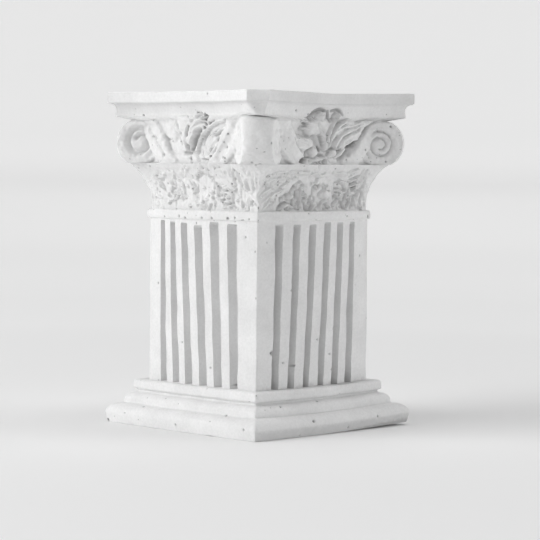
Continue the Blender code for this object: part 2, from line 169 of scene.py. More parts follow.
@dataclass(frozen=True)
class Stroke:
    """A stroke of carving along a curve on a face, or a round spot if it has one point, in millimetres."""

    points: tuple[Place, ...]
    widths: tuple[float, ...]
    rises: tuple[float, ...]
    fullness: float = 2.0
    cut: Cut = Cut.RAISED
    trench: float = 0.0
    trench_width: float = 0.5
    deepest: float = 3.2

    def mirrored(self) -> "Stroke":
        """The same stroke on the other half of the face."""
        return replace(self, points=tuple((-s, z) for s, z in self.points))

    def carve(self, relief: np.ndarray, s: np.ndarray, z: np.ndarray) -> None:
        """Work the stroke into a relief: it stands on what is there, with a trench round it.

        Args:
            relief: how far each place stands out from the wall, changed in place.
            s: places along the face.
            z: heights of the same places.
        """
        curve = smooth_curve(self.points)
        reach = max(self.widths) + self.trench_width
        low, high = curve.min(0) - reach, curve.max(0) + reach
        near = (s > low[0]) & (s < high[0]) & (z > low[1]) & (z < high[1])
        if not near.any():
            return
        nearest, along = self._nearest(curve, s[near], z[near])
        width = np.interp(along, np.linspace(0.0, 1.0, len(self.widths)), self.widths)
        rise = np.interp(along, np.linspace(0.0, 1.0, len(self.rises)), self.rises)
        form = rise * np.sqrt(1.0 - np.minimum(nearest / width, 1.0) ** self.fullness)
        before = relief[near]
        if self.cut is Cut.SUNK:
            relief[near] = np.maximum(before - form, np.minimum(before, -self.deepest))
            return
        trench = self.trench * smoothstep(1.0 - (nearest - width) / self.trench_width)
        around = np.maximum(before - trench, np.minimum(before, -self.trench))
        relief[near] = np.where(nearest < width, np.maximum(before, form), around)

    @staticmethod
    def _nearest(curve: np.ndarray, s: np.ndarray, z: np.ndarray) -> tuple[np.ndarray, np.ndarray]:
        """Each place's way to the curve.

        Args:
            curve: the curve's points.
            s: places along the face.
            z: heights of the same places.

        Returns:
            How far each place is from the curve, and how far along the curve its nearest point is, as a
            share of the curve.
        """
        if len(curve) == 1:
            return np.hypot(s - curve[0, 0], z - curve[0, 1]), np.full(s.shape, 0.5)
        nearest = np.full(s.shape, np.inf)
        along = np.zeros(s.shape)
        steps = len(curve) - 1
        for step in range(steps):
            start, run = curve[step], curve[step + 1] - curve[step]
            share = np.clip(((s - start[0]) * run[0] + (z - start[1]) * run[1]) / (run @ run), 0.0, 1.0)
            distance = np.hypot(s - start[0] - share * run[0], z - start[1] - share * run[1])
            closer = distance < nearest
            nearest = np.where(closer, distance, nearest)
            along = np.where(closer, (step + share) / steps, along)
        return nearest, along


def tapered(size: float, shares: tuple[float, ...]) -> tuple[float, ...]:
    """A size at even steps along a stroke."""
    return tuple(share * size for share in shares)


def ridge(width: float, rise: float, *points: Place) -> Stroke:
    """A rounded raised stroke, of the given half width at its middle."""
    return Stroke(points, tapered(width, RIDGE_WIDTHS), tapered(rise, RIDGE_RISES), trench=RIDGE_TRENCH)


def plate(width: float, rise: float, *points: Place) -> Stroke:
    """A broad flat raised stroke, of the given half width."""
    return Stroke(points, (width,), (rise,), FLAT)


def boss(radius: float, rise: float, place: Place) -> Stroke:
    """A round raised spot."""
    return Stroke((place,), (radius,), (rise,), FLAT, trench=BOSS_TRENCH)


def gouge(width: float, depth: float, *points: Place) -> Stroke:
    """A rounded sunk stroke, of the given half width at its middle."""
    return Stroke(points, tapered(width, GOUGE_WIDTHS), tapered(depth, GOUGE_DEPTHS), cut=Cut.SUNK)


def hole(radius: float, depth: float, place: Place) -> Stroke:
    """A round sunk spot."""
    return Stroke((place,), (radius,), (depth,), STEEP, Cut.SUNK)


def carved(shapes: tuple[Stroke, ...], s: np.ndarray, z: np.ndarray) -> np.ndarray:
    """The relief that strokes make, one over the other.

    Args:
        shapes: the strokes, the undermost first.
        s: places along the face.
        z: heights of the same places.

    Returns:
        How far each place stands out from the wall, below 0 where it is cut in.
    """
    relief = np.zeros(s.shape)
    for shape in shapes:
        shape.carve(relief, s, z)
    return relief


@dataclass(frozen=True)
class Sheet:
    """One face of the casting, row by row.

    It holds each point's place along the face, how far out and how high it is, how much the corner
    beside each row bulges, and how deep the carving is cut at each point.
    """

    s: np.ndarray
    out: np.ndarray
    z: np.ndarray
    crown: np.ndarray
    cuts: np.ndarray

    @staticmethod
    def stacked(sheets: list["Sheet"]) -> "Sheet":
        """Several sheets, one above the other, as one."""
        return Sheet(*(np.concatenate([getattr(sheet, name) for sheet in sheets])
                       for name in ("s", "out", "z", "crown", "cuts")))


class Corner(NamedTuple):
    """A corner of a moulding's section, and the form of the face at its height."""

    z: float
    half: float
    swell: float
    cut: float
    power: float = 2.0


@dataclass(frozen=True)
class Profile:
    """Plain mouldings: their section from below upwards, drawn with short steps and rubbed edges."""

    section: tuple[Corner, ...]
    step: float = 0.3
    rubbing: int = 2

    def rows(self) -> np.ndarray:
        """The section's points, close together and with softened edges."""
        given = np.array(self.section, float)
        lengths = np.hypot(np.diff(given[:, 0]), np.diff(given[:, 1]))
        total = np.concatenate([[0.0], np.cumsum(lengths)])
        places = np.linspace(0.0, total[-1], max(2, int(total[-1] / self.step) + 1))
        rows = np.stack([np.interp(places, total, given[:, column]) for column in range(given.shape[1])], 1)
        for _ in range(self.rubbing):
            rows[1:-1, :2] = 0.5 * rows[1:-1, :2] + 0.25 * (rows[:-2, :2] + rows[2:, :2])
        return rows

    def sheet(self, columns: int) -> Sheet:
        """The mouldings on one face.

        Args:
            columns: how many points a row has.

        Returns:
            The face's sheet, with nothing cut into it.
        """
        z, half, swell, cut, power = (column[:, None] for column in self.rows().T)
        edge = half - DIAGONAL * cut
        s = edge * np.linspace(-1.0, 1.0, columns)
        out = half + swell * (1.0 - np.abs(s / edge) ** power)
        return Sheet(s, out, np.broadcast_to(z, s.shape), ARRIS_BULGE * cut[:, 0], np.zeros(s.shape))


def rounded(low: Place, high: Place, swell: float, cut: float, steps: int = 8) -> list[Corner]:
    """The section of a convex quarter round.

    Args:
        low: its foot, as (z, half).
        high: its head, as (z, half).
        swell: the swell of its faces.
        cut: its corner cut.
        steps: how many straight pieces stand for the curve.

    Returns:
        Corners of the section from the foot to the head.
    """
    corners = []
    for step in range(steps + 1):
        angle = 0.5 * math.pi * step / steps
        z = low[0] + (high[0] - low[0]) * math.sin(angle)
        half = high[1] + (low[1] - high[1]) * math.cos(angle)
        corners.append(Corner(z, half, swell, cut))
    return corners


@dataclass(frozen=True)
class Base:
    """Plinth, two rounds, groove and fillet under the shaft."""

    plinth_half: float = 32.9
    plinth_top: float = 3.0
    undercut: tuple[Place, ...] = ((0.0, 0.7), (0.4, 0.45))
    round_top: float = 6.0
    ledge: float = 0.3
    ledge_rise: float = 0.1
    step_half: float = 28.7
    step_top: float = 7.1
    step_round_top: float = 9.3
    groove_half: float = 25.9
    fillet_half: float = 26.8
    fillet_foot: float = 10.1
    top: float = 13.1
    ease: float = 0.2
    worn_edge: float = 0.5
    arris: float = 0.25
    plinth_swell: float = 0.4
    round_swell: float = 0.6
    step_swell: float = 0.9

    def sheet(self, columns: int) -> Sheet:
        """The base on one face.

        Args:
            columns: how many points a row has.

        Returns:
            The face's sheet.
        """
        arris, swell = self.arris, self.step_swell
        section = [Corner(z, self.plinth_half - cut, self.plinth_swell, arris) for z, cut in self.undercut]
        round_head = (self.round_top, self.step_half + self.ledge)
        section += rounded((self.plinth_top, self.plinth_half), round_head, self.round_swell, arris)
        section.append(Corner(self.round_top + self.ledge_rise, self.step_half, swell, arris))
        step_head = (self.step_round_top, self.groove_half)
        section += rounded((self.step_top, self.step_half), step_head, swell, arris)
        section += [
            Corner(self.fillet_foot, self.groove_half - self.ease, swell, arris),
            Corner(self.fillet_foot + self.ease, self.fillet_half - self.ease, swell, arris),
            Corner(self.fillet_foot + self.worn_edge, self.fillet_half, swell, arris),
            Corner(self.top - self.worn_edge, self.fillet_half, swell, arris),
            Corner(self.top, self.fillet_half - self.worn_edge, swell, arris),
        ]
        return Profile(tuple(section)).sheet(columns)


@dataclass(frozen=True)
class FluteRow:
    """Where the flutes of one face lie: middles and widths at three heights, and their tops."""

    middles: tuple[tuple[float, ...], ...]
    widths: tuple[tuple[float, ...], ...]
    tops: tuple[float, ...]


RIGHT_FLUTES = FluteRow(
    middles=(
        (-16.4, -10.3, -4.2, 1.9, 8.0, 14.4),
        (-16.2, -10.0, -3.9, 2.1, 8.1, 14.2),
        (-16.3, -10.2, -4.1, 2.0, 7.8, 13.9),
    ),
    widths=((2.7, 2.7, 2.5, 2.7, 2.9, 2.9), (2.7, 2.5, 2.5, 2.7, 2.9, 3.0), (2.7, 2.7, 2.8, 2.8, 2.9, 2.8)),
    tops=(61.5, 61.2, 61.3, 61.8, 61.6, 61.6),
)
LEFT_FLUTES = FluteRow(
    middles=(
        (-15.8, -9.9, -4.0, 2.3, 8.5, 14.9),
        (-15.7, -10.1, -4.1, 2.1, 8.5, 15.0),
        (-15.1, -9.7, -4.1, 2.1, 8.5, 14.9),
    ),
    widths=((3.0, 3.0, 3.2, 3.3, 3.4, 3.2), (2.7, 3.0, 3.1, 3.2, 3.4, 3.3), (2.5, 2.6, 3.1, 3.5, 3.4, 3.4)),
    tops=(61.8, 61.5, 61.3, 60.5, 61.6, 61.4),
)
FLUTES = {
    Side.RIGHT: RIGHT_FLUTES, Side.BACK_LEFT: RIGHT_FLUTES,
    Side.LEFT: LEFT_FLUTES, Side.BACK_RIGHT: LEFT_FLUTES,
}


@dataclass(frozen=True)
class Shaft:
    """The fluted shaft, whose faces swell towards the top."""

    foot: float = 13.1
    head: float = 62.4
    half: float = 23.4
    arris: float = 0.25
    foot_swell: float = 1.3
    head_swell: float = 3.8
    depth: float = 3.2
    draft: float = 0.3
    bed_rounding: float = 0.18
    end: float = 0.6
    waver: float = 0.035
    waver_lengths: Place = (0.8, 4.0)
    wavers: int = 3
    seed: int = 40
    measured: tuple[float, float, float] = (19.5, 38.8, 58.0)
    margin_columns: int = 42
    flute_columns: int = 18
    gap_columns: int = 8
    rows: int = 96

    @property
    def columns(self) -> int:
        """How many points a row has."""
        flutes = len(RIGHT_FLUTES.tops)
        return 2 * self.margin_columns + flutes * (self.flute_columns + 2) + (flutes - 1) * self.gap_columns

    def sheet(self, side: Side) -> Sheet:
        """The shaft on one face.

        Args:
            side: which face.

        Returns:
            The face's sheet, with wavering flute edges and uneven flute tops.
        """
        rng = np.random.default_rng(self.seed + side.value)
        z = np.linspace(self.foot, self.head, self.rows)
        half_run = self.half - DIAGONAL * self.arris
        bed = 1.0 - self.bed_rounding * np.linspace(-1.0, 1.0, self.flute_columns) ** 4
        edge_floor = np.zeros((len(z), 1))
        last = np.full(z.shape, -half_run)
        blocks, floors = [], []
        for index, top in enumerate(FLUTES[side].tops):
            left, right = self._edges(FLUTES[side], index, z, rng)
            count = self.margin_columns if index == 0 else self.gap_columns
            deep = smoothstep((top - z) / self.end)
            blocks += [
                self._spread(last, left, count, index > 0, False),
                left[:, None],
                self._spread(left + self.draft, right - self.draft, self.flute_columns, False, True),
                right[:, None],
            ]
            floors += [np.zeros((len(z), count)), edge_floor, deep[:, None] * bed, edge_floor]
            last = right
        blocks.append(self._spread(last, np.full(z.shape, half_run), self.margin_columns, True, True))
        floors.append(np.zeros((len(z), self.margin_columns)))
        s = np.hstack(blocks)
        climb = ((z - self.foot) / (self.head - self.foot))[:, None]
        swell = self.foot_swell + (self.head_swell - self.foot_swell) * climb
        cuts = self.depth * np.hstack(floors)
        out = self.half + swell * (1.0 - (s / half_run) ** 2) - cuts
        crown = np.full(z.shape, ARRIS_BULGE * self.arris)
        return Sheet(s, out, np.broadcast_to(z[:, None], s.shape), crown, cuts)

    def _edges(self, row: FluteRow, index: int, z: np.ndarray, rng: np.random.Generator) -> list[np.ndarray]:
        """The wavering edges of one flute.

        Args:
            row: the face's flutes.
            index: which flute.
            z: the heights of the rows.
            rng: where the wavers are drawn from.

        Returns:
            The left and the right edge at each height.
        """
        middle = np.interp(z, self.measured, [values[index] for values in row.middles])
        width = np.interp(z, self.measured, [values[index] for values in row.widths])
        edges = []
        for sign in (-1.0, 1.0):
            waver = sum(
                self.waver * np.sin(z / rng.uniform(*self.waver_lengths) + rng.uniform(0.0, 6.3))
                for _ in range(self.wavers)
            )
            edges.append(middle + sign * 0.5 * width + waver)
        return edges

    @staticmethod
    def _spread(low: np.ndarray, high: np.ndarray, count: int, skip_first: bool, to_end: bool) -> np.ndarray:
        """Evenly spread places between two edges, row by row.

        Args:
            low: the left edge at each height.
            high: the right edge.
            count: how many places a row gets.
            skip_first: whether the left edge itself is left out.
            to_end: whether the last place is on the right edge.

        Returns:
            The places by row and column.
        """
        total = count + (1 if skip_first else 0)
        share = np.linspace(0.0, 1.0, total, endpoint=to_end)
        share = share[1:] if skip_first else share
        return low[:, None] + (high - low)[:, None] * share


@dataclass(frozen=True)
class Band:
    """The plain band between the shaft and the carved capital."""

    foot: float = 62.4
    top: float = 65.1
    half: float = 24.1
    swell: float = 3.8
    arris: float = 0.3

    def sheet(self, columns: int) -> Sheet:
        """The band on one face.

        Args:
            columns: how many points a row has.

        Returns:
            The face's sheet.
        """
        arris = self.arris
        corners_up = (
            (self.foot, self.half - arris), (self.foot + arris, self.half),
            (self.top - arris, self.half), (self.top, self.half - arris),
        )
        return Profile(tuple(Corner(z, half, self.swell, arris) for z, half in corners_up)).sheet(columns)


STEM = Stroke(
    ((8.6, 79.4), (12.6, 81.4), (15.6, 85.4), (18.6, 90.4)),
    (1.6, 3.0, 3.9, 3.6), (0.8, 1.2, 1.4, 1.3), FLATTEST,
)
STEMS = (STEM, STEM.mirrored())
RIGHT_LOWER = (
    ridge(0.4, 0.63, (-22.2, 69.7), (-20.3, 71.4), (-17.9, 72.6), (-15.8, 73.2)),
    ridge(0.4, 0.63, (-21.3, 67.7), (-19.2, 69.4), (-16.7, 70.7), (-14.1, 71.4)),
    ridge(0.4, 0.63, (-22.3, 72.0), (-20.6, 73.8), (-17.9, 74.6), (-14.5, 74.9)),
    ridge(0.4, 0.54, (-22.3, 74.3), (-20.6, 75.5), (-18.0, 76.4), (-15.1, 76.7)),
    ridge(0.4, 0.54, (-15.1, 72.0), (-13.4, 73.2), (-12.2, 74.0)),
    ridge(0.35, 0.54, (-21.2, 65.9), (-19.8, 67.1), (-18.7, 68.5)),
    ridge(0.6, 0.9, (-13.5, 76.6), (-9.8, 76.4), (-6.1, 76.3)),
    ridge(0.55, 0.72, (4.4, 76.4), (7.6, 76.1), (10.9, 76.0)),
    ridge(0.45, 0.81, (-4.8, 75.5), (-3.2, 76.2), (-0.6, 75.5), (1.1, 76.3)),
    ridge(0.45, 1.17, (-10.0, 66.4), (-9.8, 67.9), (-8.7, 69.3), (-8.5, 71.1)),
    ridge(0.4, 1.08, (-7.4, 67.0), (-7.7, 69.0), (-7.4, 71.4)),
    ridge(0.45, 0.99, (-7.1, 72.0), (-6.3, 72.6), (-5.1, 72.0)),
    ridge(0.45, 0.99, (-6.3, 69.6), (-5.1, 69.9), (-4.6, 69.0)),
    ridge(0.4, 0.99, (-2.8, 68.7), (-2.3, 66.7), (-2.8, 65.2)),
    ridge(0.45, 1.17, (6.9, 73.3), (8.4, 73.9), (10.4, 73.4), (11.5, 72.2)),
    ridge(0.4, 1.17, (7.0, 71.2), (8.3, 71.3), (10.3, 70.7)),
    ridge(0.4, 1.17, (9.4, 70.1), (11.2, 70.7), (11.8, 71.8)),
    ridge(0.45, 1.26, (11.9, 68.3), (12.7, 69.8), (12.8, 71.6)),
    ridge(0.45, 1.26, (10.1, 68.0), (9.6, 68.9), (7.9, 70.3)),
    ridge(0.4, 1.08, (11.5, 66.2), (11.2, 67.4), (11.9, 68.5)),
    ridge(0.4, 1.17, (6.5, 66.6), (7.6, 67.5), (8.3, 68.3)),
    ridge(0.4, 1.08, (12.4, 65.9), (13.6, 67.1), (13.9, 68.9)),
    ridge(0.4, 1.17, (12.8, 74.0), (14.5, 74.5), (16.3, 75.4)),
    ridge(0.35, 1.08, (11.5, 76.7), (13.3, 77.0), (14.6, 77.6)),
    ridge(0.4, 1.08, (14.0, 72.4), (15.6, 72.9), (17.7, 73.1)),
    ridge(0.4, 1.08, (14.4, 70.4), (15.6, 71.6), (16.6, 72.0)),
    ridge(0.4, 0.99, (18.0, 68.3), (17.6, 69.8), (18.7, 71.4)),
    ridge(0.4, 0.99, (15.2, 65.9), (16.2, 67.4), (15.6, 68.6)),
    ridge(0.45, 0.81, (19.3, 73.1), (17.8, 75.2), (17.1, 77.3)),
    ridge(0.45, 0.81, (21.7, 68.2), (20.4, 71.3), (19.8, 74.9), (19.0, 77.3)),
    ridge(0.35, 0.81, (19.8, 65.8), (19.5, 68.3), (20.1, 70.7)),
    ridge(0.35, 0.9, (1.3, 66.3), (1.7, 67.5), (3.4, 67.8), (3.9, 66.6)),
    ridge(1.45, 1.17, (1.3, 70.1), (3.3, 70.2)),
    boss(0.95, 1.35, (-11.5, 69.5)),
    boss(0.7, 1.08, (-5.2, 68.2)),
    boss(0.6, 0.9, (-14.2, 68.5)),
    boss(0.55, 0.99, (4.7, 66.3)),
    boss(0.5, 0.99, (-1.0, 71.4)),
    ridge(0.55, 1.35, (-14.9, 65.6), (-13.7, 66.8), (-12.2, 67.0), (-10.6, 66.3)),
    gouge(0.55, 0.81, (-8.2, 74.0), (-9.5, 72.6), (-10.6, 71.4), (-11.2, 70.5)),
    gouge(0.6, 0.99, (-9.9, 72.6), (-9.0, 72.3)),
    gouge(0.45, 0.74, (-12.4, 70.4), (-13.5, 69.7), (-15.0, 69.1)),
    gouge(0.45, 0.81, (-11.2, 67.2), (-12.6, 67.9), (-14.1, 67.3), (-15.6, 66.5), (-16.2, 65.3)),
    gouge(0.5, 0.99, (-16.2, 65.3), (-15.7, 65.0)),
    gouge(0.3, 0.74, (-6.8, 70.4), (-5.5, 71.1)),
    gouge(0.3, 0.68, (-8.6, 68.0), (-8.6, 67.3)),
    gouge(0.3, 0.74, (-3.8, 69.3), (-3.3, 67.0)),
    gouge(0.6, 1.12, (-5.2, 67.0), (-4.6, 65.5), (-3.8, 64.9)),
    gouge(0.4, 0.87, (-1.9, 69.9), (-2.1, 71.7), (-1.3, 72.6), (0.5, 72.8)),
    gouge(0.5, 1.05, (0.4, 72.0), (0.5, 73.0)),
    gouge(0.4, 0.93, (-1.8, 69.9), (-1.1, 68.7), (-1.5, 67.5)),
    gouge(0.4, 0.93, (5.1, 69.0), (5.0, 67.6)),
    gouge(
        0.22, 0.62,
        (-0.8, 67.5), (-0.2, 67.8), (0.4, 67.4), (0.4, 66.6), (-0.2, 66.3), (-0.8, 66.6), (-0.8, 67.5),
    ),
    hole(0.35, 1.4, (2.7, 65.6)),
    gouge(0.35, 0.81, (6.7, 72.4), (7.7, 71.9), (8.9, 71.9)),
    gouge(0.5, 0.99, (6.9, 68.7), (7.3, 69.4), (9.1, 69.7)),
    gouge(0.3, 0.56, (6.0, 72.5), (6.2, 71.0), (6.8, 69.5)),
    gouge(0.35, 0.74, (12.4, 75.2), (13.1, 76.0), (14.8, 76.1)),
    gouge(0.55, 1.05, (13.9, 73.1), (15.0, 73.4), (16.0, 73.7)),
    gouge(0.3, 0.62, (14.1, 71.8), (16.0, 72.5)),
    gouge(0.4, 0.87, (16.0, 71.0), (17.5, 71.3)),
    gouge(0.45, 0.81, (15.6, 69.2), (16.9, 69.6)),
    gouge(0.35, 0.74, (16.6, 67.2), (17.9, 65.7)),
    gouge(0.35, 0.74, (14.0, 66.8), (14.7, 68.0)),
    hole(0.4, 1.4, (20.1, 65.2)),
    gouge(0.35, 0.62, (8.7, 65.7), (9.0, 67.0), (10.1, 67.6)),
    hole(0.28, 1.2, (10.1, 66.1)),
    gouge(0.4, 0.74, (-2.8, 77.9), (-3.4, 78.8)),
    hole(0.35, 1.2, (-20.1, 75.9)),
    hole(0.3, 1.0, (-21.6, 75.5)),
    gouge(0.3, 0.62, (-20.9, 73.0), (-20.8, 72.0)),
    gouge(0.3, 0.56, (-18.8, 66.8), (-18.1, 67.9), (-16.5, 68.7)),
    gouge(0.3, 0.68, (1.6, 73.4), (2.8, 72.5), (3.6, 71.6)),
    hole(0.25, 1.0, (-12.8, 65.7)),
)
LEFT_LOWER = (
    ridge(0.45, 0.45, (16.6, 77.7), (15.1, 75.4), (15.3, 73.0)),
    ridge(0.4, 0.5, (17.2, 76.5), (17.0, 74.2), (17.8, 71.9)),
    ridge(0.4, 0.5, (19.0, 75.7), (19.2, 73.4), (19.5, 71.1)),
    ridge(0.4, 0.45, (21.7, 76.6), (22.0, 74.3), (21.5, 71.4)),
    ridge(0.4, 0.4, (24.1, 76.6), (23.2, 73.7), (22.6, 70.8)),
    ridge(0.4, 0.4, (15.5, 70.1), (16.9, 68.1), (17.3, 66.1)),
    ridge(0.4, 0.4, (19.0, 69.6), (19.6, 67.6), (19.6, 65.6)),
    ridge(0.45, 0.4, (-7.1, 73.3), (-6.8, 70.9), (-6.6, 68.5)),
    ridge(0.4, 0.5, (-11.9, 73.8), (-11.8, 72.0), (-12.9, 70.5)),
    ridge(0.4, 0.5, (-9.9, 69.7), (-10.3, 68.5), (-12.1, 68.1)),
    ridge(0.45, 0.5, (-13.4, 76.2), (-15.3, 74.7)),
    ridge(0.4, 0.45, (-19.8, 74.3), (-18.4, 73.1), (-17.5, 71.6)),
    ridge(0.4, 0.4, (-20.8, 70.1), (-19.4, 68.9), (-17.5, 68.3)),
    ridge(0.5, 0.55, (-2.0, 72.8), (-1.6, 71.3), (-2.0, 70.4)),
    ridge(0.45, 0.5, (8.2, 72.9), (8.0, 71.2), (7.4, 69.7)),
    ridge(0.45, 0.6, (9.6, 67.0), (10.8, 67.7), (12.4, 67.8)),
    ridge(0.4, 0.6, (8.8, 69.7), (10.1, 71.2), (11.8, 71.7), (13.6, 70.4), (13.4, 68.6)),
    ridge(0.4, 0.5, (2.3, 67.3), (2.7, 66.1)),
    ridge(0.5, 0.6, (0.2, 66.6), (0.9, 65.7), (2.4, 64.8), (4.1, 65.5), (4.6, 67.0)),
    ridge(0.45, 0.5, (9.8, 65.9), (11.8, 66.4), (13.8, 66.9)),
    ridge(0.45, 0.5, (10.7, 64.5), (12.7, 65.1), (14.7, 64.9)),
    ridge(0.4, 0.45, (5.7, 68.2), (6.5, 67.3), (6.2, 65.6)),
    ridge(0.4, 0.4, (-2.4, 77.5), (-4.0, 76.3), (-5.3, 75.1)),
    boss(0.6, 0.45, (11.7, 69.3)),
    boss(0.5, 0.4, (-1.1, 66.6)),
    boss(0.45, 0.4, (-4.2, 66.2)),
    gouge(0.35, 0.56, (-15.7, 76.6), (-16.7, 75.9), (-18.3, 74.8)),
    gouge(0.5, 0.81, (-16.9, 73.8), (-15.7, 73.9)),
    gouge(0.35, 0.5, (-16.5, 72.6), (-16.0, 71.8)),
    gouge(0.3, 0.74, (-11.8, 77.3), (-10.8, 76.5)),
    gouge(0.6, 0.81, (-10.5, 73.2), (-10.4, 72.4)),
    hole(0.4, 1.0, (-12.7, 72.9)),
    gouge(0.4, 0.74, (-12.1, 71.1), (-10.6, 71.6)),
    gouge(0.35, 0.68, (-8.8, 72.1), (-9.1, 70.9), (-10.4, 70.1), (-11.5, 70.1)),
    hole(0.45, 1.4, (-11.2, 69.0)),
    gouge(0.35, 0.56, (-9.1, 68.8), (-8.9, 68.2)),
    gouge(0.3, 0.56, (-12.6, 67.5), (-11.2, 67.3), (-10.7, 66.2)),
    gouge(0.3, 0.68, (-4.2, 76.3), (-5.2, 75.4), (-6.3, 74.5)),
    gouge(0.25, 0.5, (-2.7, 76.5), (-2.6, 75.6)),
    hole(0.35, 1.5, (-1.9, 74.5)),
    gouge(0.65, 0.99, (-0.2, 74.7), (1.3, 75.2), (3.0, 75.9), (4.6, 75.7)),
    gouge(0.6, 0.99, (-3.2, 73.4), (-2.9, 72.2)),
    gouge(0.55, 1.12, (-3.1, 71.1), (-2.1, 71.7)),
    gouge(0.35, 0.81, (-0.4, 72.8), (-0.5, 71.0), (-1.1, 69.8)),
    gouge(0.55, 0.93, (-2.6, 70.0), (-1.6, 68.9), (-0.8, 68.2)),
    hole(0.38, 1.5, (4.5, 77.6)),
    hole(0.38, 1.5, (6.3, 77.1)),
    hole(0.32, 1.3, (9.7, 77.8)),
    hole(0.32, 1.3, (11.5, 77.8)),
    hole(0.35, 1.3, (17.0, 77.1)),
    hole(0.35, 1.3, (15.9, 74.6)),
    gouge(0.35, 0.81, (7.5, 73.4), (6.7, 72.0)),
    gouge(0.3, 0.74, (6.4, 71.7), (6.3, 70.1)),
    hole(0.3, 1.2, (7.5, 71.5)),
    gouge(0.4, 0.81, (8.8, 72.2), (9.4, 70.9)),
    gouge(0.3, 0.68, (8.3, 70.2), (7.9, 68.2)),
    hole(0.5, 1.7, (10.5, 69.8)),
    gouge(0.25, 0.56, (9.2, 69.1), (9.5, 70.5), (11.3, 71.1), (12.7, 70.2), (12.6, 68.9), (11.4, 68.2)),
    gouge(0.45, 0.99, (9.9, 68.6), (9.9, 67.3)),
    hole(0.35, 1.3, (8.7, 68.1)),
    hole(0.5, 1.6, (1.2, 67.4)),
    gouge(0.3, 0.68, (3.4, 67.3), (3.6, 66.2), (2.8, 65.4), (1.1, 65.2)),
    gouge(0.35, 0.56, (1.7, 66.6), (2.1, 65.9)),
    hole(0.3, 1.0, (3.8, 69.4)),
    hole(0.3, 1.0, (3.7, 64.2)),
    hole(0.3, 1.0, (6.5, 66.3)),
    gouge(0.3, 0.62, (13.6, 67.5), (12.2, 67.2), (10.8, 66.4)),
    hole(0.35, 1.3, (13.6, 67.6)),
    hole(0.33, 1.2, (14.5, 66.1)),
    gouge(0.3, 0.56, (15.4, 64.9), (15.6, 66.1)),
    gouge(0.35, 0.56, (15.6, 77.7), (14.3, 75.3)),
    gouge(0.35, 0.68, (18.6, 76.8), (18.0, 74.8), (18.2, 72.2)),
    gouge(0.45, 0.74, (20.3, 74.3), (20.2, 72.8), (20.2, 71.4)),
    gouge(0.4, 0.68, (18.1, 67.6), (17.7, 66.0)),
    gouge(0.35, 0.74, (21.3, 68.2), (20.7, 66.5)),
    gouge(0.3, 0.62, (17.3, 71.6), (16.8, 68.7)),
    hole(0.3, 1.5, (25.2, 75.7)),
    hole(0.3, 1.5, (24.5, 74.8)),
)
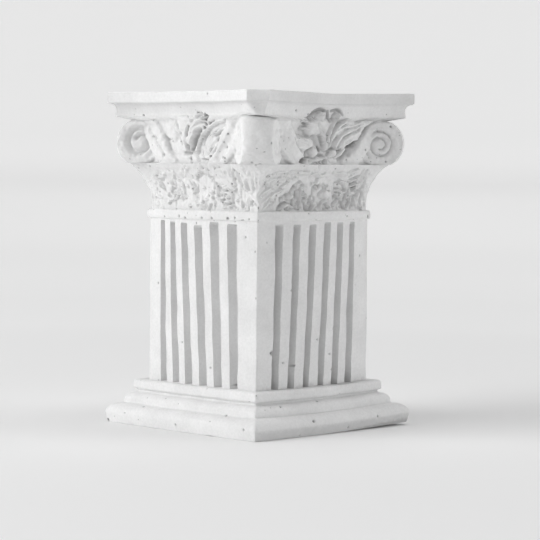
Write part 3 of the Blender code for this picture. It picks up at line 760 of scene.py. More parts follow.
RIGHT_UPPER = (
    plate(2.5, 1.5, (-1.0, 89.5), (0.9, 90.2)),
    plate(2.3, 1.7, (-6.4, 89.5), (-2.2, 90.1)),
    plate(2.6, 1.1, (4.2, 86.6), (7.2, 88.8), (10.8, 89.4)),
    plate(1.9, 1.67, (7.7, 84.4), (10.3, 86.2), (13.3, 87.4)),
    plate(2.0, 0.97, (-6.7, 84.8), (-9.2, 85.1), (-11.2, 85.4)),
    ridge(0.45, 1.67, (-3.8, 88.7), (-6.7, 89.4), (-10.1, 89.4)),
    ridge(0.45, 1.67, (-5.5, 90.8), (-8.0, 91.4), (-9.7, 91.6)),
    ridge(0.55, 2.2, (-0.4, 83.2), (-0.8, 85.8), (-2.1, 88.4), (-3.8, 90.6)),
    ridge(0.7, 1.9, (2.6, 85.8), (4.2, 88.4), (6.4, 89.7), (9.4, 90.3)),
    ridge(0.75, 2.1, (1.1, 83.5), (1.9, 86.4), (3.4, 88.9), (5.5, 90.6), (7.6, 91.5)),
    ridge(0.7, 2.4, (0.1, 83.2), (0.2, 86.1), (0.8, 88.7), (2.1, 90.9), (3.0, 92.4)),
    ridge(0.55, 1.76, (9.4, 89.8), (12.4, 90.8), (15.0, 91.8)),
    ridge(0.65, 1.76, (6.7, 83.1), (8.8, 85.0), (12.9, 86.1)),
    ridge(0.75, 1.8, (5.4, 83.5), (7.5, 86.0), (11.1, 87.6), (14.6, 88.6)),
    ridge(0.75, 1.95, (3.9, 83.3), (4.7, 85.7), (6.8, 87.6), (9.8, 88.9), (12.8, 89.7), (15.4, 91.0)),
    ridge(0.4, 1.32, (-4.6, 84.0), (-7.1, 85.9), (-10.0, 86.4), (-12.5, 86.1)),
    ridge(0.4, 1.14, (-5.8, 83.4), (-8.7, 84.4), (-11.2, 84.9)),
    gouge(0.75, 1.4, (-9.4, 91.7), (-7.6, 92.7), (-6.0, 94.1), (-3.5, 95.2), (-1.2, 94.8)),
    gouge(0.6, 1.2, (1.3, 94.8), (3.5, 95.2), (5.3, 94.7), (6.4, 93.6)),
    gouge(0.3, 0.56, (-9.7, 91.3), (-8.0, 90.5)),
    gouge(0.35, 0.68, (-8.4, 91.4), (-6.8, 91.6)),
    gouge(0.6, 1.61, (-1.8, 83.2), (-1.9, 83.9)),
    gouge(0.5, 1.36, (0.6, 83.2), (1.6, 83.4)),
    gouge(1.1, 0.68, (-2.3, 84.3), (-3.6, 86.0), (-4.8, 87.6)),
    gouge(0.65, 0.93, (2.6, 84.1), (3.2, 85.5), (4.7, 87.3)),
    gouge(0.75, 1.24, (-2.5, 81.6), (-0.2, 81.6)),
    gouge(0.4, 0.93, (-5.0, 83.8), (-6.7, 83.2), (-7.3, 81.9), (-7.5, 81.1)),
    gouge(0.5, 1.24, (-7.9, 81.2), (-6.0, 80.9)),
    gouge(0.95, 2.85, (-10.5, 79.7), (-9.3, 79.9), (-8.3, 80.4)),
    hole(0.3, 2.0, (8.0, 82.9)),
    gouge(1.9, 1.61, (12.5, 84.9), (10.3, 83.7), (7.8, 82.3), (6.3, 81.3)),
    gouge(0.9, 1.86, (12.9, 85.4), (11.6, 84.3)),
    gouge(0.65, 2.23, (12.9, 85.1), (14.6, 86.9), (16.3, 88.7), (18.1, 90.3), (19.8, 91.5)),
    gouge(0.35, 0.99, (19.8, 91.6), (22.9, 92.0), (26.9, 92.0)),
    hole(0.45, 2.0, (26.9, 91.9)),
    gouge(0.35, 0.81, (-13.3, 86.7), (-12.5, 85.2), (-11.0, 83.5), (-9.5, 81.9)),
    gouge(0.3, 0.68, (-16.0, 91.2), (-15.0, 90.3)),
    hole(0.4, 1.2, (-18.8, 86.7)),
    boss(1.5, 1.1, (-4.8, 82.4)),
    ridge(1.2, 1.58, (2.0, 81.6), (3.5, 82.5)),
    ridge(0.8, 1.32, (4.4, 81.1), (6.1, 82.2), (7.7, 83.4)),
    boss(1.1, 1.32, (0.6, 79.2)),
    ridge(0.6, 1.06, (-6.6, 79.3), (-4.1, 80.2), (-1.6, 80.3)),
    gouge(0.4, 0.99, (-3.0, 79.3), (-2.8, 78.2)),
    gouge(0.3, 0.74, (-1.8, 79.8), (-1.5, 78.3)),
    ridge(1.35, 3.3, (-4.2, 93.1), (-3.5, 93.3), (-2.8, 93.1)),
    ridge(1.3, 3.3, (2.9, 93.1), (3.6, 93.3), (4.2, 93.1)),
    gouge(0.6, 2.4, (-0.1, 94.8), (0.2, 93.2), (0.7, 91.8)),
    gouge(0.25, 0.5, (-4.3, 93.0), (-3.5, 93.9), (-2.7, 93.1)),
    gouge(0.25, 0.5, (2.9, 93.0), (3.6, 93.9), (4.3, 93.1)),
)
LEFT_UPPER = (
    plate(1.7, 0.48, (9.2, 85.4), (6.6, 84.0), (5.4, 82.2)),
    plate(3.2, 0.77, (-2.0, 87.5), (-0.8, 90.4), (1.4, 92.5)),
    plate(1.8, 0.77, (-4.3, 89.6), (-3.8, 91.3), (-1.1, 93.0)),
    plate(1.8, 0.29, (-9.1, 87.2), (-11.8, 89.0), (-14.9, 90.5)),
    ridge(0.45, 0.58, (-3.5, 83.7), (-5.1, 86.6), (-6.9, 89.3), (-7.8, 91.6)),
    ridge(0.45, 1.15, (-1.2, 86.9), (-0.3, 89.5), (2.3, 91.0), (5.3, 91.3)),
    ridge(0.5, 1.39, (-2.7, 82.8), (-3.1, 85.7), (-2.4, 88.7), (-0.6, 91.6), (3.6, 93.3)),
    ridge(0.45, 0.77, (5.4, 82.8), (6.4, 85.3), (8.7, 87.2), (12.1, 88.8), (15.1, 89.8)),
    ridge(0.45, 0.67, (7.1, 82.2), (8.1, 84.4), (10.4, 86.2), (12.1, 87.2)),
    ridge(0.55, 1.01, (1.9, 82.2), (2.5, 84.9), (4.2, 87.5), (7.0, 89.4), (10.8, 91.0), (14.2, 91.5)),
    ridge(0.6, 0.77, (5.2, 80.5), (7.3, 80.9), (9.2, 82.8), (10.9, 84.9)),
    ridge(0.5, 0.67, (0.2, 82.2), (1.5, 81.0), (2.4, 79.9)),
    hole(0.4, 1.3, (3.0, 93.7)),
    hole(0.5, 2.2, (5.9, 93.1)),
    gouge(0.3, 0.84, (6.2, 93.0), (7.5, 92.8)),
    hole(0.5, 2.2, (5.3, 91.8)),
    hole(0.4, 1.6, (5.3, 90.4)),
    hole(0.5, 2.2, (7.0, 90.6)),
    gouge(0.35, 0.9, (7.4, 91.0), (9.3, 91.5)),
    hole(0.6, 2.2, (4.4, 89.2)),
    gouge(1.0, 2.16, (2.3, 88.2), (0.8, 86.6), (-0.1, 84.9), (-0.9, 83.1)),
    gouge(0.6, 0.96, (3.1, 89.0), (0.8, 88.2)),
    gouge(0.3, 0.78, (-0.4, 92.2), (-1.6, 90.1), (-2.3, 86.9)),
    gouge(0.45, 0.54, (-6.4, 88.1), (-6.2, 86.3), (-5.5, 84.5)),
    gouge(0.55, 1.32, (-4.4, 82.1), (-1.3, 81.8)),
    hole(0.55, 2.2, (-1.1, 80.2)),
    gouge(0.35, 0.96, (-0.2, 79.1), (0.2, 78.4)),
    gouge(0.3, 0.72, (6.4, 87.8), (4.7, 86.3), (3.8, 84.0)),
    gouge(0.55, 1.2, (3.9, 82.7), (4.3, 81.2)),
    gouge(0.35, 0.96, (3.9, 80.2), (6.3, 80.1)),
    gouge(0.3, 0.48, (10.4, 88.5), (7.7, 87.5), (6.0, 85.9), (5.3, 84.3)),
    gouge(0.55, 0.72, (-20.6, 91.6), (-19.0, 89.9), (-17.8, 88.1), (-16.9, 87.1)),
    gouge(0.75, 1.08, (-16.7, 86.8), (-15.3, 86.2)),
    gouge(0.45, 0.66, (-14.9, 85.4), (-13.7, 83.6), (-12.1, 82.0)),
    hole(0.4, 1.4, (-11.9, 81.3)),
    gouge(0.3, 0.36, (-13.5, 85.3), (-11.3, 85.9), (-9.1, 86.0)),
    gouge(1.6, 0.9, (18.8, 90.1), (16.6, 86.6), (14.5, 83.7), (11.4, 80.7)),
    hole(0.3, 1.0, (14.5, 83.7)),
    hole(0.35, 1.2, (13.5, 80.8)),
    ridge(0.55, 2.02, (-0.3, 91.5), (2.4, 92.9), (4.3, 93.4)),
    ridge(0.5, 1.73, (1.4, 90.6), (3.3, 91.6), (5.3, 91.4)),
)


@dataclass(frozen=True)
class Spiral:
    """The spiral groove on a volute's side: its first radius, pitch, turns, half width and depth."""

    start: float = 4.6
    pitch: float = 1.9
    turns: float = 1.9
    half_width: float = 0.62
    depth: float = 1.1
    drop: float = 0.35
    lead: float = 0.2
    fade: float = 0.15

    def share(self, from_middle: np.ndarray, up: np.ndarray) -> np.ndarray:
        """How deep the groove is at each place on a volute's side.

        Args:
            from_middle: how far each place is from the volute's middle along the face.
            up: how far it is above the middle.

        Returns:
            A share of the groove's depth for each place.
        """
        up = up + self.drop
        radius = np.hypot(from_middle, up)
        turn = np.arctan2(up, -from_middle) / TURN % 1.0
        depth = np.zeros(radius.shape)
        for lap in range(-1, math.ceil(self.turns) + 1):
            along = turn + lap
            off = (radius - self.start + self.pitch * along) / self.half_width
            inside = 0.5 + 0.5 * np.cos(np.pi * np.clip(off, -1.0, 1.0))
            ends = smoothstep((along + self.lead) / self.fade) * smoothstep((self.turns - along) / self.fade)
            depth = np.maximum(depth, inside * ends)
        return depth


NARROW_SPIRAL = Spiral()
WIDE_SPIRAL = Spiral(start=4.7, pitch=2.1, turns=1.5, half_width=1.4, depth=1.8, drop=0.0)


def scattered(seed: int, count: int, low: Place, high: Place) -> tuple[Stroke, ...]:
    """Small curls and beads strewn over a wall, the same each time.

    Args:
        seed: which scatter.
        count: how many there are.
        low: the lower corner of the wall, as (s, z).
        high: its upper corner.

    Returns:
        Raised strokes.
    """
    rng = np.random.default_rng(seed)
    shapes = []
    for _ in range(count):
        place = (rng.uniform(low[0], high[0]), rng.uniform(low[1], high[1]))
        turn, bend, length = rng.uniform(0.0, 6.3), rng.uniform(-1.6, 1.6), rng.uniform(0.6, 1.4)
        points = [place]
        for _ in range(2):
            s, z = points[-1]
            points.append((s + 0.6 * length * math.cos(turn), z + 0.6 * length * math.sin(turn)))
            turn += bend
        shapes.append(ridge(rng.uniform(0.25, 0.42), rng.uniform(0.35, 0.8), *points))
    return tuple(shapes)


@dataclass(frozen=True)
class Capital:
    """The carved capital: a bell of low leaves, and palmettes and stems between corner volutes."""

    foot: float = 65.1
    joint: float = 78.8
    abacus_foot: float = 92.7
    bell_half: float = 23.1
    bell_flare: float = 4.7
    flare_power: float = 2.7
    bell_swell: float = 1.6
    wall_half: float = 26.4
    wall_swell: float = 0.8
    arris: float = 0.3
    volute_middle: float = 85.1
    volute_radius: float = 6.8
    volute_reach: float = 43.1
    volute_half_width: float = 4.1
    volute_turn: float = math.radians(32.0)
    volute_crown: float = 0.6
    ground_depth: float = 0.5
    bell_ground_depth: float = 0.3
    crumbs: int = 70
    crumb_seed: int = 60
    crumb_area: tuple[Place, Place] = ((-22.5, 65.6), (22.5, 77.4))
    edge_fade: float = 0.8
    seam: float = 0.1
    worn_groove: float = 0.4
    ground_edge: tuple[tuple[float, ...], tuple[float, ...]] = (
        (80.6, 81.1, 84.0, 88.0, 91.7, 94.0), (6.0, 8.0, 12.0, 14.5, 17.0, 18.5)
    )
    lip: tuple[tuple[float, ...], tuple[float, ...]] = (
        (78.8, 79.2, 79.7, 80.3, 81.5), (0.9, 0.0, -0.25, 0.0, 0.0)
    )
    row_step: float = 0.23

    def lower_sheet(self, side: Side, columns: int) -> Sheet:
        """The bell and its leaves on one face.

        Args:
            side: which face.
            columns: how many points a row has.

        Returns:
            The face's sheet.
        """
        rows = int((self.joint - self.foot) / self.row_step) + 1
        share = np.linspace(0.0, 1.0, rows)[:, None]
        z = self.foot + (self.joint - self.foot) * share
        half = self.bell_half + self.bell_flare * share ** self.flare_power
        swell = self.bell_swell + (self.wall_swell - self.bell_swell) * share
        edge = half - DIAGONAL * self.arris
        s = edge * np.linspace(-1.0, 1.0, columns)
        z = np.broadcast_to(z, s.shape)
        wall = half + swell * (1.0 - (s / edge) ** 2)
        crumbs = scattered(self.crumb_seed + side.value, self.crumbs, *self.crumb_area)
        relief = carved(crumbs + self.shapes(side, RIGHT_LOWER, LEFT_LOWER), s, z)
        fade = smoothstep((edge - np.abs(s)) / self.edge_fade)
        low = self.bell_ground_depth * smoothstep((17.0 - np.abs(s)) / 1.5)
        low = low * smoothstep((z - self.foot - 0.3) / 0.4) * smoothstep((75.6 - z) / 0.6)
        out = wall + np.where(relief > 0.0, relief, relief - low) * fade
        crown = np.full(rows, ARRIS_BULGE * self.arris)
        return Sheet(s, softened(out), z, crown, np.maximum(-relief, 0.0))

    @staticmethod
    def shapes(side: Side, right: tuple[Stroke, ...], left: tuple[Stroke, ...]) -> tuple[Stroke, ...]:
        """A face's carving: the back faces carry the front ones' turned about.

        Args:
            side: which face.
            right: the carving of the right face.
            left: the carving of the left face.

        Returns:
            The strokes on the given face.
        """
        front = left if side in (Side.LEFT, Side.BACK_RIGHT) else right
        if side in (Side.RIGHT, Side.LEFT):
            return front
        return tuple(shape.mirrored() for shape in front)

    def upper_sheet(self, side: Side, columns: int) -> Sheet:
        """The palmette storey and the volutes on one face.

        Args:
            side: which face.
            columns: how many points a row has.

        Returns:
            The face's sheet.
        """
        top = min(self.volute_middle + self.volute_radius, self.abacus_foot) - self.seam
        foot = self.joint + self.seam
        rows = int((top - foot) / self.row_step) + 1
        z = np.linspace(foot, top, rows)[:, None]
        edge_s, edge_out = self._volute_edge(z)
        s = edge_s * np.linspace(-1.0, 1.0, columns)
        z = np.broadcast_to(z, s.shape)
        wall = self._wall(s, z)
        low = self.ground_depth * smoothstep((np.interp(z, *self.ground_edge) - np.abs(s)) / 0.5)
        low = low * smoothstep((z - 81.0) / 0.8)
        low = low * smoothstep((89.5 - z) / 1.5)
        out = np.maximum(wall - low, self._volute_side(s, z, side))
        relief = carved(STEMS + self.shapes(side, RIGHT_UPPER, LEFT_UPPER), s, z)
        relief = relief * smoothstep((edge_s - np.abs(s)) / self.edge_fade)
        out = np.where(relief > 0.0, np.maximum(out, wall + relief), out + relief)
        crown = np.full(rows, self.volute_crown)
        return Sheet(s, softened(out), z, crown, np.maximum(-relief, 0.0))

    def _wall(self, s: np.ndarray, z: np.ndarray) -> np.ndarray:
        """The plain wall behind the palmette, from the soft joint at its foot to the abacus.

        Args:
            s: places along the face.
            z: heights of the same places.

        Returns:
            How far out the wall is at each place.
        """
        wall = self.wall_half + self.wall_swell * (1.0 - np.clip(s / self.wall_half, -1.0, 1.0) ** 2)
        lip = np.interp(z, *self.lip)
        abacus = Abacus()
        across = np.minimum(np.abs(s) / 29.8, 1.0) ** abacus.power
        under = abacus.foot_half - 0.5 - abacus.foot_hollow * (1.0 - across)
        return wall + lip + np.maximum(under - wall, 0.0) * smoothstep((z - 89.6) / 3.0)

    def _volute_edge(self, z: np.ndarray) -> tuple[np.ndarray, np.ndarray]:
        """Where the side of a volute meets its rim.

        Args:
            z: the heights.

        Returns:
            The place along the face and how far out it is, at each height.
        """
        rise = np.minimum(np.abs(z - self.volute_middle), self.volute_radius)
        back = self.volute_radius - np.sqrt(self.volute_radius ** 2 - rise ** 2)
        edge_s = (self.volute_reach - self.volute_half_width) / DIAGONAL
        edge_out = (self.volute_reach + self.volute_half_width) / DIAGONAL
        return edge_s - back * math.cos(self.volute_turn), edge_out - back * math.sin(self.volute_turn)

    def _volute_side(self, s: np.ndarray, z: np.ndarray, side: Side) -> np.ndarray:
        """How far a volute's side stands out on a face.

        Args:
            s: places along the face.
            z: heights of the same places.
            side: which face.

        Returns:
            How far out the volute's side is at each place, and 0 off it.
        """
        edge_s, edge_out = self._volute_edge(np.full((1, 1), self.volute_middle))
        from_edge = (edge_s - np.abs(s)) / math.cos(self.volute_turn)
        from_middle = self.volute_radius - from_edge
        up = z - self.volute_middle
        radius = np.hypot(from_middle, up)
        worn = (side is Side.RIGHT) & (s < 0.0) | (side is Side.LEFT) & (s > 0.0)
        groove = NARROW_SPIRAL.depth * NARROW_SPIRAL.share(from_middle, up)
        groove = groove * np.where(worn, self.worn_groove, 1.0)
        if side is Side.LEFT:
            wide = WIDE_SPIRAL.depth * WIDE_SPIRAL.share(from_middle, up)
            groove = np.where(s < 0.0, wide, groove)
        out = edge_out - from_edge * math.sin(self.volute_turn) - groove
        return np.where(radius <= self.volute_radius + 0.01, out, 0.0)


@dataclass(frozen=True)
class Abacus:
    """The hollow-sided slab on top: a concave moulding under a plain fascia with cut horns."""

    foot: float = 92.7
    fascia_foot: float = 96.8
    top: float = 100.0
    foot_half: float = 32.1
    reach: float = 2.9
    fascia_half: float = 35.2
    foot_cut: float = 1.15
    horn_cut: float = 3.2
    foot_hollow: float = 3.9
    hollow: float = 4.5
    power: float = 3.0
    foot_ease: float = 0.3
    worn_edge: float = 0.25
    steps: int = 12
    step: float = 0.24

    def sheet(self, side: Side, columns: int) -> Sheet:
        """The slab on one face, with the palmette's tips over its moulding.

        Args:
            side: which face.
            columns: how many points a row has.

        Returns:
            The face's sheet.
        """
        foot_half = self.foot_half - self.foot_ease
        section = [Corner(self.foot, foot_half, -self.foot_hollow, self.foot_cut, self.power)]
        for step in range(1, self.steps + 1):
            share = step / self.steps
            flare = 1.0 - math.sqrt(1.0 - share ** 2)
            section.append(Corner(
                self.foot + (self.fascia_foot - self.foot) * share,
                self.foot_half + self.reach * flare,
                -self.foot_hollow - (self.hollow - self.foot_hollow) * flare,
                self.foot_cut + (self.horn_cut - self.foot_cut) * share,
                self.power,
            ))
        section += [
            Corner(z, half, -self.hollow, self.horn_cut, self.power) for z, half in (
                (self.fascia_foot + 0.1, self.fascia_half),
                (self.top - self.worn_edge, self.fascia_half),
                (self.top, self.fascia_half - self.worn_edge),
            )
        ]
        sheet = Profile(tuple(section), self.step, 1).sheet(columns)
        relief = carved(Capital.shapes(side, RIGHT_UPPER, LEFT_UPPER), sheet.s, sheet.z)
        wall = Capital().wall_half + Capital().wall_swell
        out = np.where(relief > 0.0, np.maximum(sheet.out, wall + relief), sheet.out + relief)
        out = np.where(sheet.z < self.fascia_foot - 0.2, out, sheet.out)
        return Sheet(sheet.s, out, sheet.z, np.zeros(len(sheet.z)), np.maximum(-relief, 0.0))


@dataclass(frozen=True)
class Unevenness:
    """Soft random waves over the surface, the same each time."""

    wavelength: float
    height: float
    seed: int
    waves: int = 24

    def at(self, points: np.ndarray) -> np.ndarray:
        """The height of the waves at each point.

        Args:
            points: places in millimetres, one a row.

        Returns:
            A height in millimetres for each point.
        """
        rng = np.random.default_rng(self.seed)
        ways = rng.normal(size=(self.waves, 3))
        ways /= np.linalg.norm(ways, axis=1)[:, None]
        ways *= TURN / self.wavelength * rng.uniform(0.7, 1.4, self.waves)[:, None]
        phases = rng.uniform(0.0, TURN, self.waves)
        total = np.zeros(len(points))
        for way, phase in zip(ways, phases):
            total += np.sin(points @ way + phase)
        return self.height * total * math.sqrt(2.0 / self.waves)


@dataclass(frozen=True)
class Nudge:
    """A soft pull on the casting round one point, as a soft mould gives, in millimetres."""

    middle: Point
    radius: float
    shift: Point


@dataclass(frozen=True)
class Pit:
    """A burst air bubble: the face it is on, its place there, its radius and its depth."""

    side: Side
    place: Place
    radius: float
    depth: float


@dataclass
class Casting:
    """The whole casting: its parts stacked on four faces, wrapped round, and weathered."""

    base: Base = field(default_factory=Base)
    shaft: Shaft = field(default_factory=Shaft)
    band: Band = field(default_factory=Band)
    capital: Capital = field(default_factory=Capital)
    abacus: Abacus = field(default_factory=Abacus)
    rim_columns: int = 14
    triangles: int = 192000
    small_bubbles: int = 420
    sharp_angle: float = math.radians(48.0)
    cap_shares: tuple[float, ...] = (
        0.985, 0.96, 0.93, 0.89, 0.84, 0.79, 0.73, 0.67, 0.6, 0.53, 0.45, 0.37, 0.28, 0.19, 0.1
    )
    # Painted shade: how dark the hollows, cuts and some faces are painted.
    hollow_passes: int = 5
    hollow_scale: float = 0.5
    dark_depth: float = 2.9
    low_share: float = 0.55
    plain_share: float = 0.12
    groove_shade: float = 1.8
    flute_shade: float = 0.2
    flute_foot_shade: float = 0.6
    wedge_height: float = 1.1
    slab_shade: float = 0.2
    plinth_shade: float = 0.48
    fascia_shade: float = 0.14
    carved_share: float = 0.75
    joint_relief: float = 0.75
    calm_share: float = 0.15
    carved_heights: Place = (62.0, 95.0)
    plain_heights: Place = (1.0, 99.5)
    bubble_seed: int = 21
    nudges: tuple[Nudge, ...] = (
        Nudge((-30.5, 30.5, 85.0), 5.5, (0.45, -0.45, 0.0)),
        Nudge((-34.0, 34.0, 97.0), 7.0, (0.5, -0.5, 0.0)),
        Nudge((33.0, -33.0, 0.0), 22.0, (0.0, 0.0, 0.75)),
        Nudge((-25.6, -25.6, 75.6), 2.2, (0.75, -0.75, 0.0)),
        Nudge((-24.2, -24.2, 71.8), 1.7, (0.5, -0.5, 0.0)),
        Nudge((-23.8, -23.8, 69.3), 1.5, (-0.4, 0.4, 0.0)),
        Nudge((-23.4, -23.4, 66.8), 1.5, (0.3, -0.3, 0.0)),
        Nudge((-27.2, -27.2, 78.2), 1.6, (-0.5, 0.5, 0.0)),
        Nudge((-27.6, -27.6, 92.0), 4.6, (-2.6, -2.6, 0.75)),
        Nudge((-30.6, -24.2, 92.0), 3.2, (-1.2, -1.8, 0.75)),
        Nudge((-31.4, -31.4, 93.2), 2.2, (0.55, -0.55, 0.0)),
        Nudge((-32.6, -29.6, 81.0), 2.6, (-0.4, -0.4, 0.0)),
        Nudge((-24.6, 24.6, 73.0), 1.8, (-0.4, 0.4, 0.0)),
        Nudge((-26.2, 26.2, 76.6), 1.6, (-0.6, 0.6, 0.2)),
        Nudge((-24.0, 24.0, 69.5), 1.5, (0.3, -0.3, 0.0)),
        Nudge((33.0, -33.0, 100.0), 14.0, (0.0, 0.0, 0.4)),
        Nudge((0.0, -31.0, 100.0), 10.0, (0.0, 0.0, -0.3)),
    )
    pits: tuple[Pit, ...] = (
        Pit(Side.RIGHT, (18.7, 51.5), 0.45, 0.5),
        Pit(Side.RIGHT, (-0.3, 27.3), 0.4, 0.4),
        Pit(Side.RIGHT, (-18.0, 24.0), 0.6, 0.5),
        Pit(Side.RIGHT, (-13.7, 21.0), 0.4, 0.4),
        Pit(Side.RIGHT, (-10.6, 42.0), 0.35, 0.35),
        Pit(Side.RIGHT, (5.3, 22.2), 0.4, 0.4),
        Pit(Side.RIGHT, (22.3, 63.4), 0.6, 0.5),
        Pit(Side.LEFT, (3.0, 51.8), 0.7, 0.6),
        Pit(Side.LEFT, (2.8, 29.8), 0.4, 0.4),
        Pit(Side.LEFT, (5.5, 19.0), 0.4, 0.4),
        Pit(Side.RIGHT, (-9.0, 4.3), 0.55, 0.55),
        Pit(Side.RIGHT, (-18.1, 8.8), 0.4, 0.4),
        Pit(Side.RIGHT, (-2.5, 9.2), 0.45, 0.45),
        Pit(Side.RIGHT, (18.1, 3.1), 0.35, 0.35),
        Pit(Side.RIGHT, (5.5, 1.1), 0.35, 0.35),
        Pit(Side.RIGHT, (-14.7, 0.4), 0.3, 0.3),
        Pit(Side.LEFT, (-31.9, 0.5), 0.5, 0.5),
        Pit(Side.LEFT, (-17.4, 5.9), 0.5, 0.5),
        Pit(Side.LEFT, (28.3, 3.2), 0.35, 0.35),
        Pit(Side.LEFT, (32.5, 13.7), 0.3, 0.3),
        Pit(Side.LEFT, (-23.4, 3.4), 0.3, 0.3),
        Pit(Side.LEFT, (-0.5, 1.9), 0.35, 0.35),
        Pit(Side.LEFT, (14.2, 0.1), 0.3, 0.3),
        Pit(Side.LEFT, (-5.6, 63.1), 0.4, 0.4),
        Pit(Side.LEFT, (-2.8, 62.6), 0.45, 0.45),
        Pit(Side.LEFT, (4.4, 62.9), 0.4, 0.4),
        Pit(Side.LEFT, (8.2, 63.1), 0.4, 0.4),
        Pit(Side.LEFT, (14.2, 62.9), 0.5, 0.5),
        Pit(Side.LEFT, (16.7, 63.1), 0.35, 0.35),
        Pit(Side.LEFT, (19.2, 62.4), 0.45, 0.45),
        Pit(Side.LEFT, (21.3, 63.1), 0.3, 0.3),
        Pit(Side.LEFT, (-13.2, 62.8), 0.35, 0.35),
        Pit(Side.LEFT, (1.4, 61.1), 0.3, 0.3),
    )

    rim_pits: tuple[tuple[Point, float], ...] = (
        ((-33.1, -28.9, 83.3), 0.4),
        ((-32.0, -28.7, 81.2), 0.5),
        ((-31.6, -30.7, 84.3), 0.35),
        ((-30.4, -31.9, 84.2), 0.35),
        ((-32.2, -30.0, 83.7), 0.3),
        ((-28.8, -31.9, 88.9), 0.35),
        ((-29.9, -32.4, 85.5), 0.3),
        ((-32.0, -27.3, 80.0), 0.4),
        ((-29.8, -27.3, 79.0), 0.5),
        ((-28.5, -27.2, 78.6), 0.55),
        ((-27.7, -27.8, 78.6), 0.55),
        ((-27.4, -28.8, 78.7), 0.5),
    )

    def face_sheet(self, side: Side) -> Sheet:
        """The whole of one face, from the underside to the top.

        Args:
            side: which face.

        Returns:
            The face's sheet.
        """
        columns = self.shaft.columns
        return Sheet.stacked([
            self.base.sheet(columns),
            self.shaft.sheet(side),
            self.band.sheet(columns),
            self.capital.lower_sheet(side, columns),
            self.capital.upper_sheet(side, columns),
            self.abacus.sheet(side, columns),
        ])

    def rings(self) -> tuple[np.ndarray, np.ndarray]:
        """Every ring of the casting, from the underside to the top.

        Returns:
            Rows by columns by (x, y, z) in millimetres, and how deep the carving is cut at each point.
        """
        rim = np.linspace(-1.0, 1.0, self.rim_columns + 2)[1:-1]
        parts, cuts = [], []
        for side in Side:
            sheet = self.face_sheet(side)
            edge_s, edge_out = sheet.s[:, -1:], sheet.out[:, -1:]
            middle = (edge_s + edge_out) / DIAGONAL + sheet.crown[:, None] * (1.0 - rim ** 4)
            across = (edge_out - edge_s) / DIAGONAL * rim
            s = np.hstack([sheet.s, (middle + across) / DIAGONAL])
            out = np.hstack([sheet.out, (middle - across) / DIAGONAL])
            z = np.hstack([sheet.z, np.repeat(sheet.z[:, -1:], self.rim_columns, axis=1)])
            cos, sin = math.cos(side.angle), math.sin(side.angle)
            x = s * cos + out * sin
            y = s * sin - out * cos
            parts.append(np.stack([x, y, z], axis=2))
            cuts.append(np.hstack([sheet.cuts, np.zeros((len(z), self.rim_columns))]))
        walls = np.concatenate(parts, axis=1)
        shares = np.array(self.cap_shares)[:, None, None]
        flat = np.array([1.0, 1.0, 0.0])
        under = walls[0] * (1.0 - flat + flat * shares[::-1])
        over = walls[-1] * (1.0 - flat + flat * shares)
        depths = np.pad(np.concatenate(cuts, axis=1), ((len(shares), len(shares)), (0, 0)))
        return np.concatenate([under, walls, over]), depths

    def darkness(self, rings: np.ndarray, depths: np.ndarray) -> np.ndarray:
        """How dark each point is painted: shade in its hollows and cuts, and shade on some of the faces.

        Args:
            rings: every ring of the casting.
            depths: how deep the carving is cut at each point.

        Returns:
            A share from 0 to 1 for each point of the rings.
        """
        x, y, z = (rings[:, :, axis] for axis in range(3))
        shaded_faces = smoothstep((np.abs(y) - np.abs(x)) / 0.6 + 0.5)
        share = self._hollows(rings, depths, shaded_faces)
        for shade in self._shades(x, y, z, depths, shaded_faces):
            share = np.maximum(share, shade)
        return share

    def _hollows(self, rings: np.ndarray, depths: np.ndarray, shaded_faces: np.ndarray) -> np.ndarray:
        """Painted shade in the narrow hollows and the cuts of the carving: how dark they are.

        Args:
            rings: every ring of the casting.
            depths: how deep the carving is cut at each point.
            shaded_faces: 1 on the right face and its opposite, where the base's grooves are darker.

        Returns:
            A share for each point of the rings.
        """
        level = rings
        for _ in range(self.hollow_passes):
            level = 0.5 * level + 0.25 * (np.roll(level, 1, axis=1) + np.roll(level, -1, axis=1))
            level[1:-1] = 0.5 * level[1:-1] + 0.25 * (level[:-2] + level[2:])
        away = rings * np.array([1.0, 1.0, 0.0])
        away /= np.maximum(np.linalg.norm(away, axis=2, keepdims=True), WELD)
        depth = ((level - rings) * away).sum(axis=2)
        z = rings[:, :, 2]
        below = smoothstep((self.band.top + 0.6 - z) / 0.8)
        plain = self.plain_share + self.groove_shade * shaded_faces * smoothstep((13.5 - z) / 0.5)
        share = np.clip(depth / self.hollow_scale, 0.0, 1.0) * (1.0 - (1.0 - plain) * below)
        share *= 1.0 - self.joint_relief * between(z, 91.3, 0.4, 93.6, 0.4)
        carved_depths = np.where(z > self.band.top, depths, 0.0)
        share = np.minimum(share + np.minimum(carved_depths / self.dark_depth, self.carved_share), 1.0)
        return share * np.where(z < self.capital.joint, self.low_share, 1.0)

